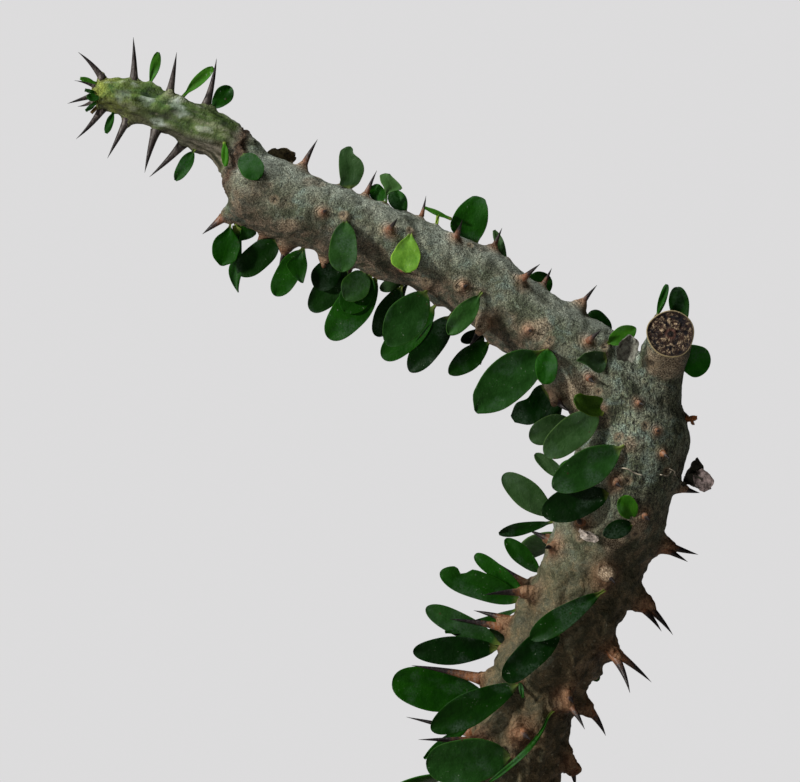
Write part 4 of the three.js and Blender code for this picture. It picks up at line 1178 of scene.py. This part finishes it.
def stem_parts():
    """The limbs, every spine's foot, the ring's crumbs and the new growth's cushions."""
    parts = [
        limb_mesh(trunk, 56, seed=1),
        limb_mesh(arm, 48, seed=2),
        limb_mesh(new_growth, 40, ribs=5, rib_height=0.07, twist=0.22, lumpiness=0.02, seed=3),
        limb_mesh(stub, 40, lumpiness=0.012, seed=4),
    ]
    for spine in all_spines:
        parts.append(tubercle(spine.base, spine.toward, spine.radius, spine.height, spine.shank))
    for x, z, radius in KNOBS:
        centre = surface_at(x, z, FRONT)[0]
        parts.append(tubercle(centre, np.array([0.0, -1, 0.2]), radius, 0.8 * radius, 0.4 * radius))
    for spine in spine_sets["bud"]:
        if spine.radius > 2:
            height = 1.2 + 0.35 * spine.height
            parts.append(cushion(spine.base, spine.out, 0.5 * spine.radius, height))
    return joined(parts)


def voxel_skin(points, faces):
    """One closed skin round meshes that overlap, in millimetres."""
    rough = new_object("rough_stem", points, faces, None)
    rough.data.transform(Matrix.Scale(1 / MM, 4))
    remesh = rough.modifiers.new("skin", "REMESH")
    remesh.mode = "VOXEL"
    remesh.voxel_size = BARK_VOXEL
    evaluated = rough.evaluated_get(bpy.context.evaluated_depsgraph_get())
    mesh = bpy.data.meshes.new_from_object(evaluated)
    bpy.data.objects.remove(rough)
    return mesh


def read_points(mesh, field):
    values = np.empty(len(mesh.vertices) * 3)
    mesh.vertices.foreach_get(field, values)
    return values.reshape(-1, 3)


def move_points(mesh, points):
    mesh.vertices.foreach_set("co", points.ravel())
    mesh.update()


def smoothed(mesh, points):
    """Smooths the whole skin a little, and then the hollow round each spine's foot."""
    count = len(points)
    edges = np.empty(len(mesh.edges) * 2, dtype=int)
    mesh.edges.foreach_get("vertices", edges)
    a, b = edges.reshape(-1, 2).T
    valence = np.bincount(np.concatenate([a, b]), minlength=count)[:, None]
    closest, gap = nearest(points, np.array([spine.base for spine in all_spines]))
    span = FOOT_SPANS[closest]
    fillet = np.exp(-(((gap - 1.1 * span) / (0.45 * span)) ** 2))[:, None]
    for turn in range(BARK_SMOOTHING + FILLET_SMOOTHING):
        sums = [
            np.bincount(a, points[b, k], count) + np.bincount(b, points[a, k], count)
            for k in range(3)
        ]
        share = 0.5 if turn < BARK_SMOOTHING else 0.6 * fillet
        points += share * (np.column_stack(sums) / valence - points)
    return points


def bark_values(points, leaf_bases):
    """What the bark's material reads at each point, and how far each point rises."""
    x, z = points[:, 0], points[:, 2]
    index, _ = nearest(points, ALL_POINTS[::3])
    on_growth = (LIMB_OF[::3][index] == LIMBS.index(new_growth)) & (x < RING_END_X)
    past_ring = RING_X + RING_LEAN * (z - RING_Z) - x + 0.9 * lumps(points, 3, 5)
    ring = np.exp(-((past_ring / 1.9) ** 2)) * ((x < RING_END_X) & (z > RING_LOW_Z))
    young = smoothstep(0.2, 3, past_ring) * on_growth
    old = 1 - young

    tops = np.array([spine.base + unit(spine.out) * spine.height for spine in all_spines])
    closest, gap = nearest(points, tops)
    swell = gap / FOOT_SPANS[closest]
    _, gap = nearest(points, leaf_bases)
    bud = np.exp(-((gap / 1.3) ** 2))
    warm = np.maximum(np.exp(-((swell / 0.95) ** 2)) * (1 - 0.85 * young), 0.6 * bud * old)

    closest, gap = nearest(points, seen_at(points, SCARS))
    span = np.array([radius for _, _, radius in SCARS])[closest]
    scar = np.exp(-((gap / (0.55 * span)) ** 2))
    lift = 0.55 * np.exp(-((gap / span) ** 2)) - 0.75 * np.exp(-((gap / (0.35 * span)) ** 2))
    lift += 0.7 * bud

    flow = flow_along(points)
    ribs = 0.75 * lumps(flow, 1.0, 6, 3) + 0.6 * lumps(flow * [1, 1, 2.6], 1.0, 14, 2)
    rugged = smoothstep(*RUGGED_Z, z)
    relief = (0.65 + 1.3 * rugged) * lumps(points, 8, 1)
    relief += (0.3 + 0.75 * rugged) * lumps(points, 3.4, 2, 3) + 0.16 * lumps(points, 1.5, 3)
    relief = relief * (1 - 0.5 * young) + 1.15 * ribs * young
    relief += 0.9 * ring * lumps(points, 1.6, 4, 3)
    values = {
        "warm": warm,
        "young": young,
        "ring": ring,
        "swell": swell,
        "scar": scar * old,
        "sandy_and_lit": patches_at(points, SANDY_AND_LIT, 1.6, 2.5, 9) * old,
        "brown": patches_at(points, BROWN, 3, 4, 13) * old,
        # bloom: whitish wax bloom, partly painted highlight
        "bloom": patches_at(points, BLOOMS_AND_HIGHLIGHTS, 1.2, 1.8, 10),
        "ribs": 0.5 + 0.5 * ribs,
        "fibre": 0.5 + 0.5 * lumps(flow * [2.6, 2.6, 0.8], 1.0, 8, 2),
    }
    return values, relief + lift


def place_values(points, normals):
    """What the material reads that follows from where the bark is and the way it faces."""
    x, z, rise = points[:, 0], points[:, 2], normals[:, 2]
    return {
        "woody": smoothstep(*WOODY_X, x) * (0.25 + 0.75 * smoothstep(0.6, -0.4, rise)),
        "fresh": smoothstep(*FRESH_X, x),
        # top and under mark the faces that point up and down: the bark paints light on the one and shade on
        # the other.
        "top": smoothstep(0.15, 0.95, rise),
        "under": smoothstep(0.15, -0.95, rise),
        "low": smoothstep(*LOW_Z, z),
        "grooved": 0.15 + 0.85 * smoothstep(*GROOVED_Z, z) * smoothstep(*GROOVED_X, x),
    }


def build_stem(material, leaf_bases):
    mesh = voxel_skin(*stem_parts())
    points = smoothed(mesh, read_points(mesh, "co"))
    move_points(mesh, points)
    normals = read_points(mesh, "normal")
    values, rise = bark_values(points, leaf_bases)
    points += normals * rise[:, None]
    values.update(place_values(points, normals))
    move_points(mesh, points * MM)
    mesh.materials.append(material)
    mesh.shade_smooth()
    obj = bpy.data.objects.new("stem_bark", mesh)
    bpy.context.scene.collection.objects.link(obj)
    for name, value in values.items():
        set_floats(obj, name, value)
    part(obj, "bark", "stem")


def build_cut_face(material):
    """The weather-worn wood at the stub's end, with its rim of bark."""
    sides, steps, rim_from = 96, 26, 0.9
    facing = unit(np.array(CUT_FACING))
    centre = stub.points[-1] + 0.9 * facing
    right = -unit(np.cross([0, 0, 1], facing))
    cos, sin, angles = circle_of(sides)
    wobble = 1 + 0.022 * np.sin(3 * angles + 1) + 0.012 * np.sin(5 * angles)
    flat = np.outer(cos * wobble, right) + np.outer(sin * wobble, np.cross(right, facing))
    rings, rim = [], [0]
    for share in np.linspace(1 / steps, 1, steps):
        rise = 0.5 if share < rim_from else 0.75 - 6 * (share - 0.95) ** 2
        rings.append(centre + flat * CUT_RADIUS * share + facing * rise)
        rim.extend([share] * sides)
    rings.append(rings[-1] - facing * 2.2 - (rings[-1] - centre) * 0.06)
    rim = np.array([*rim, *[1] * sides, 1])
    points, faces = shell(centre + facing * 0.5, rings, centre - facing * 2)
    rough = 0.28 * lumps(points, 0.9, 7, 3) * (rim < rim_from)
    points = points + np.outer(rough, facing)
    obj = closed_object("stub_cut_face", points, faces, material)
    set_floats(obj, "rim", rim)
    part(obj, "bark")


# Leaves


def smooth_line(places, values, at):
    """A smooth line through the values at their places, read at another place."""
    slopes = np.gradient(values, places)
    i = int(np.clip(np.searchsorted(places, at) - 1, 0, len(places) - 2))
    span = places[i + 1] - places[i]
    t = (at - places[i]) / span
    return (
        (2 * t**3 - 3 * t**2 + 1) * values[i]
        + (t**3 - 2 * t**2 + t) * span * slopes[i]
        + (3 * t**2 - 2 * t**3) * values[i + 1]
        + (t**3 - t**2) * span * slopes[i + 1]
    )


def half_widths(outline, share):
    """Half widths to the left and right of a leaf with its own outline."""
    rows = np.array(outline, float)
    if rows[0, 0] > 0:
        rows = np.vstack([[0, 0.3, 0.3], rows])
    return [smooth_line(rows[:, 0], rows[:, k], share) for k in (1, 2)]


class Blade(
    namedtuple(
        "Blade",
        "name base tip width roll bow cup blunt_base blunt_tip facing lead",
        defaults=(TO_VIEWER, 0),
    )
):
    """A leaf: its line and width, how it turns, bends and cups, how full it is at each end, the
    way it faces, and the share of its line that lies inside the bark."""

    def edges(self, share, stalk, wave):
        """Half the width at a share of the length, and how far the middle is off the line."""
        outline = OUTLINES.get(self.name)
        if outline:
            left, right = half_widths(outline, max(0, (share - self.lead) / (1 - self.lead)))
            return max(0.2, (left + right) / 2), (left - right) / 2
        a, b = self.blunt_base, self.blunt_tip
        peak = (a / (a + b)) ** a * (1 - a / (a + b)) ** b
        blade = max(0.0, (share - stalk) / (1 - stalk))
        half = self.width / 2 * (blade**a * (1 - blade) ** b) / peak
        return max(half * (1 + 0.035 * math.sin(9 * blade + wave)), 0.42), 0.0


def leaf_mesh(leaf, seed):
    """A blade on a short stalk: points, faces, and each point's share along and across it."""
    base, tip, width = leaf.base, leaf.tip, leaf.width
    axis = unit(tip - base)
    length = np.linalg.norm(tip - base)
    face = unit(leaf.facing - axis * np.dot(leaf.facing, axis))
    side = np.cross(face, axis)
    cos, sin = math.cos(math.radians(leaf.roll)), math.sin(math.radians(leaf.roll))
    side, face = side * cos + face * sin, face * cos - side * sin
    stalk = min(0.09, 1.2 / length)
    steps, lines = 26, 12
    shares = np.minimum(0.5 - 0.5 * np.cos(np.linspace(0.02, 1, steps) * np.pi), 0.997)
    spread = np.sin(np.linspace(-0.5, 0.5, lines + 1) * np.pi)
    around = np.abs([*spread, *spread[-2:0:-1]])
    waves = np.random.default_rng(seed).uniform(0, 6.28, 4)
    rings, along, across = [], [0.0], [0.0]
    for share in shares:
        half, middle = leaf.edges(share, stalk, waves[0])
        thick = 0.42 + 0.2 * math.exp(-(((share - 0.1) / 0.1) ** 2))
        bend = leaf.bow * 4 * share * (1 - share) + 0.25 * math.sin(5 * share + waves[1])
        drift = 0.035 * width * math.sin(3.2 * share + waves[2]) * (1 - share) + middle
        centre = base + axis * length * share + face * bend + side * drift
        dish = leaf.cup * spread**2 * min(1, half / (0.3 * width))
        ripple = 0.12 * np.sin(4 * spread + 7 * share + waves[3])
        depth = thick * np.sqrt(np.clip(1 - spread**2, 0, 1)) * 0.5 + 0.07
        groove = 0.12 * np.exp(-((spread / 0.12) ** 2)) * (share > stalk)
        line = centre + np.outer(spread * half, side)
        top = line + np.outer(dish + ripple + depth - groove, face)
        low = line + np.outer(dish + ripple - depth, face)
        rings.append(np.vstack([top, low[-2:0:-1]]))
        along.extend([share] * len(around))
        across.extend(around)
    points, faces = shell(base - axis * 0.2, rings, base + axis * length)
    return points, faces, along + [1.0], across + [1.0]


def build_leaf(leaf, tint, seed, material):
    points, faces, along, across = leaf_mesh(leaf, seed)
    if leaf.name == BITTEN_LEAF:
        points = bitten(points, np.array(along), leaf.base, leaf.tip)
    obj = closed_object(leaf.name, points, faces, material)
    colour = np.array(LEAF_TINTS[tint]) * np.random.default_rng(seed).uniform(0.85, 1.18)
    set_colours(obj, "tint", colour)
    set_floats(obj, "along", along)
    set_floats(obj, "across", across)
    place, number = leaf.name.split("_leaf_")
    node = f"leaf_{place}_{number}"
    nodes = [node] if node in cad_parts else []
    part(obj, "young_leaf" if tint == "lime" else "leaf", *nodes)


def bitten(points, along, base, tip):
    """A bite out of the upper edge near the tip."""
    middle = base + np.outer(along, tip - base)
    away = points - middle
    hole = np.exp(-(((along - 0.76) / 0.06) ** 2))
    pull = np.where(away[:, 2] > 0, 1 - 0.62 * hole, 1)
    return middle + away * pull[:, None]


def leaves_from_front():
    """Each row of LEAVES as a blade, its tint, and whether it grows from the bark."""
    for name, x, z, tip_x, tip_z, width, side, lean, *shape, tint in LEAVES:
        base, _ = start_at(x, z, tip_x, tip_z, side)
        tip = np.array([tip_x, base[1] + lean, tip_z])
        inside = math.hypot(base[0] - x, base[2] - z)
        lead = inside / (inside + math.hypot(tip_x - x, tip_z - z))
        yield Blade(name, base, tip, width, *shape, lead=lead), tint, side != HELD


def leaves_round(limb, rows):
    """The same for leaves given by their place along and round a limb."""
    for name, station, degrees, length, width, tint in rows:
        base, out, along = limb.on_surface(station, degrees)
        tip = base + unit(0.75 * out - 0.25 * along + [0, 0, -0.35]) * length
        yield Blade(name, base, tip, width, *HIDDEN_LEAF_SHAPE, facing=along), tint, True


# Pot and potting mix


def outer_radius(z):
    """The pot's outer radius below its rim."""
    return POT_FOOT_RADIUS + (POT_RIM_RADIUS - RIM_STEP - POT_FOOT_RADIUS) * z / POT_HEIGHT


def lathe(profile, sides):
    """Closed ring of revolution from a closed profile of [radius, z]."""
    count = len(profile)
    angles = circle_of(sides)[2]
    points = [(r * math.cos(angle), r * math.sin(angle), z) for angle in angles for r, z in profile]
    faces = []
    for i in range(sides):
        here, there = i * count, (i + 1) % sides * count
        for k in range(count):
            n = (k + 1) % count
            faces.append((here + k, there + k, there + n, here + n))
    return np.array(points), faces


def rounded(corners, radius):
    """A closed profile with its corners rounded and its long sides cut in short steps."""
    steps, longest = 5, 3.0
    corners = np.array(corners, float)
    profile = []
    for before, corner, after in zip(np.roll(corners, 1, 0), corners, np.roll(corners, -1, 0)):
        sides = [before - corner, after - corner]
        reach = min(radius, *(0.45 * np.linalg.norm(side) for side in sides))
        start, end = (corner + unit(side) * reach for side in sides)
        for t in np.linspace(0, 1, steps):
            profile.append((1 - t) ** 2 * start + 2 * t * (1 - t) * corner + t**2 * end)
    dense = []
    for point, after in zip(profile, profile[1:] + profile[:1]):
        count = max(1, int(np.linalg.norm(after - point) / longest))
        dense.extend(point + (after - point) * k / count for k in range(count))
    return dense


def build_pot(material):
    band = POT_HEIGHT - RIM_BAND
    inner = [outer_radius(z) - POT_WALL for z in (POT_WALL, POT_HEIGHT)]
    corners = [
        (DRAIN_RADIUS, 0),
        (POT_FOOT_RADIUS, 0),
        (outer_radius(band), band),
        (outer_radius(band) + RIM_STEP, band + 1),
        (POT_RIM_RADIUS, POT_HEIGHT),
        (inner[1], POT_HEIGHT),
        (inner[0], POT_WALL),
        (DRAIN_RADIUS, POT_WALL),
    ]
    points, faces = lathe(rounded(corners, 1.8), 180)
    spread = np.hypot(points[:, 0], points[:, 1])
    turning = 0.12 * np.sin(points[:, 2] * 1.9) * (spread > DRAIN_RADIUS + 20)
    worn = 0.35 * lumps(points, 26, 11) + 0.12 * lumps(points, 4, 12) + turning - 0.45
    flat = points[:, :2] / np.maximum(spread, 1)[:, None]
    points[:, :2] += flat * (worn * (spread > DRAIN_RADIUS + 8))[:, None]
    part(closed_object("clay_pot", points, faces, material), "clay", "pot")


def soil_height(x, y):
    """Height of the potting mix's surface."""
    return SOIL_Z + SOIL_CROWN * (1 - (np.hypot(x, y) / SOIL_RADIUS) ** 2)


def build_soil(material):
    edge = outer_radius(SOIL_Z) - POT_WALL - SEAT_GAP
    rings, sides = 64, 220
    circle = np.column_stack(circle_of(sides)[:2])
    layers = []
    for z in (SOIL_FOOT_Z, 40, 80, 120):
        radius = outer_radius(z) - POT_WALL - SEAT_GAP
        layers.append(np.column_stack([circle * radius, np.full(sides, z)]))
    for share in np.linspace(1, 1 / rings, rings):
        flat = circle * edge * share
        layers.append(np.column_stack([flat, soil_height(flat[:, 0], flat[:, 1])]))
    points, faces = shell([0, 0, SOIL_FOOT_Z], layers, [0, 0, SOIL_Z + SOIL_CROWN])
    top = points[:, 2] > SOIL_Z - 1
    rough = 1.1 * lumps(points, 9, 21, 3) + 0.8 * lumps(points, 2.6, 22, 3)
    fade = smoothstep(edge, edge - 2, np.hypot(points[:, 0], points[:, 1]))
    points[:, 2] += rough * top * (0.3 + 0.7 * fade)
    part(closed_object("soil", points, faces, material), "potting_mix", "potting_mix")


def build_grit(material):
    """Stones, pumice and bark chips on the potting mix."""
    ball = bmesh.new()
    bmesh.ops.create_icosphere(ball, subdivisions=2, radius=1)
    sphere = np.array([v.co[:] for v in ball.verts])
    sphere_faces = [tuple(v.index for v in f.verts) for f in ball.faces]
    ball.free()
    for name, count, sizes, tints in GRIT:
        parts, colours = [], []
        for _ in range(count):
            spread = GRIT_SPREAD * math.sqrt(rng.uniform())
            angle = rng.uniform(0, 2 * math.pi)
            x, y = spread * math.cos(angle), spread * math.sin(angle)
            if math.dist((x, y), TRUNK_FOOT) < TRUNK_FOOT_RADIUS:
                continue
            size = rng.uniform(*sizes)
            shape = rng.uniform(0.6, 1.15, 3) * size
            if name == "chips":
                shape *= CHIP_SHAPE
            uneven = lumps(sphere * 2.2 + rng.uniform(0, 99), 1.6, 31)
            stone = sphere * shape + sphere * (0.22 * size * uneven)[:, None]
            turns = (rng.uniform(-0.6, 0.6), rng.uniform(-0.6, 0.6), rng.uniform(0, 6.28))
            stone = stone @ np.array(Euler(turns).to_matrix()).T
            reach = GRIT_REACH - 1.2 * size
            if spread > reach:
                x, y = x * reach / spread, y * reach / spread
            stone += [x, y, soil_height(x, y) + 0.25 * size]
            parts.append((stone, sphere_faces))
            colours.extend([np.array(tints[rng.integers(3)]) * rng.uniform(0.7, 1.25)] * len(stone))
        obj = new_object(name, *joined(parts), material, smooth=name == "chips")
        set_colours(obj, "tint", np.array(colours))
        part(obj, "potting_mix")


# Withered leaves


def build_dried(material):
    for name, (node, tint, lobes) in DRIED.items():
        parts = []
        for base_x, base_z, tip_x, tip_z, width, base_y, tip_y, turn, curl in lobes:
            ends = np.array([[base_x, base_y, base_z], [tip_x, tip_y, tip_z]], float)
            parts.append(leaf_mesh(Blade(name, *ends, width, turn, 1.2, curl, 0.5, 0.4), 3)[:2])
        points, faces = joined(parts)
        points = points + 0.5 * np.column_stack([lumps(points, 2.2, k, 3) for k in (41, 42, 43)])
        obj = closed_object(name, points, faces, material)
        set_colours(obj, "tint", tint)
        part(obj, "dried_leaf", *([node] if node else []))


def build_strands(material):
    parts = []
    for places in STRANDS:
        rows = []
        for number, (x, z) in enumerate(places):
            point, out = surface_at(x, z, FRONT)
            rows.append([*(point + out * (0.5 + 0.5 * (number % 2))), 0.16])
        parts.append(limb_mesh(Limb(rows, 5), 6, lumpiness=0.1))
    obj = closed_object("strands", *joined(parts), material)
    set_colours(obj, "tint", (0.55, 0.48, 0.38))
    part(obj, "dried_leaf")


# Build


leaves = [
    *leaves_from_front(),
    *leaves_round(trunk, HIDDEN_TRUNK_LEAVES),
    *leaves_round(arm, HIDDEN_ARM_LEAVES),
]
bark, leaf_skin, spine_skin = bark_material(), leaf_material(), spine_material()
build_stem(bark, np.array([leaf.base for leaf, _, grows in leaves if grows]))
for kind, spines in spine_sets.items():
    build_spines(kind, spines, spine_skin)
build_cut_face(cut_material())
for number, (leaf, tint, _) in enumerate(leaves):
    build_leaf(leaf, tint, number, leaf_skin)
dried = dried_material()
build_dried(dried)
build_strands(dried)
build_pot(clay_material())
build_soil(soil_material())
build_grit(grit_material())


# Room


def room():
    """A pale wall for the camera, and a dim greenish fill for everything else."""
    world = bpy.data.worlds.new("room")
    bpy.context.scene.world = world
    world.use_nodes = True
    nodes, links = world.node_tree.nodes, world.node_tree.links
    nodes.clear()
    seen_rays = nodes.new("ShaderNodeLightPath")
    fill = nodes.new("ShaderNodeBackground")
    fill.inputs[0].default_value = (1, 1, 0.82, 1)
    fill.inputs[1].default_value = 0.035
    wall = nodes.new("ShaderNodeBackground")
    wall.inputs[0].default_value = (0.72, 0.715, 0.72, 1)
    mix = nodes.new("ShaderNodeMixShader")
    output = nodes.new("ShaderNodeOutputWorld")
    links.new(seen_rays.outputs["Is Camera Ray"], mix.inputs[0])
    links.new(fill.outputs[0], mix.inputs[1])
    links.new(wall.outputs[0], mix.inputs[2])
    links.new(mix.outputs[0], output.inputs[0])


def lamp(name, place, size, watts, colour):
    """A round lamp that shines on the plant's middle."""
    data = bpy.data.lights.new(name, "AREA")
    data.shape = "DISK"
    data.size = size
    data.energy = watts
    data.color = colour
    obj = bpy.data.objects.new(name, data)
    obj.location = place
    obj.rotation_euler = (Vector(LAMP_TARGET) - Vector(place)).to_track_quat("-Z", "Y").to_euler()
    obj.visible_camera = False
    bpy.context.scene.collection.objects.link(obj)


def floor():
    """A wide round cloth just under the pot."""
    sides = 96
    cos, sin, _ = circle_of(sides)
    circle = np.column_stack([FLOOR_RADIUS * cos, FLOOR_RADIUS * sin, np.full(sides, FLOOR_Z)])
    s = Shader("floor_cloth")
    grain = s.between(s.noise(30, 5, 0.6), 0.35, 0.65)
    cloth = s.finish(s.mix(grain, (0.52, 0.5, 0.49), (0.58, 0.56, 0.55)), 0.9)
    new_object("floor", circle, [tuple(range(sides))], cloth)


def camera():
    data = bpy.data.cameras.new("camera")
    data.sensor_width = SENSOR
    data.lens = SENSOR * EYE / VIEW_WIDTH
    data.clip_start = 0.05
    obj = bpy.data.objects.new("camera", data)
    obj.location = (0, -EYE * MM, VIEW_Z * MM)
    obj.rotation_euler = (math.pi / 2, 0, 0)
    bpy.context.scene.collection.objects.link(obj)
    bpy.context.scene.camera = obj


room()
floor()
lamp("key", (-1.56, -1.04, 0.84), 0.2, 36, (1, 0.97, 0.9))
lamp("sky", (-0.6, -0.4, 1.75), 0.7, 19, (0.97, 1, 0.97))
camera()
bpy.context.scene.view_settings.view_transform = "Standard"
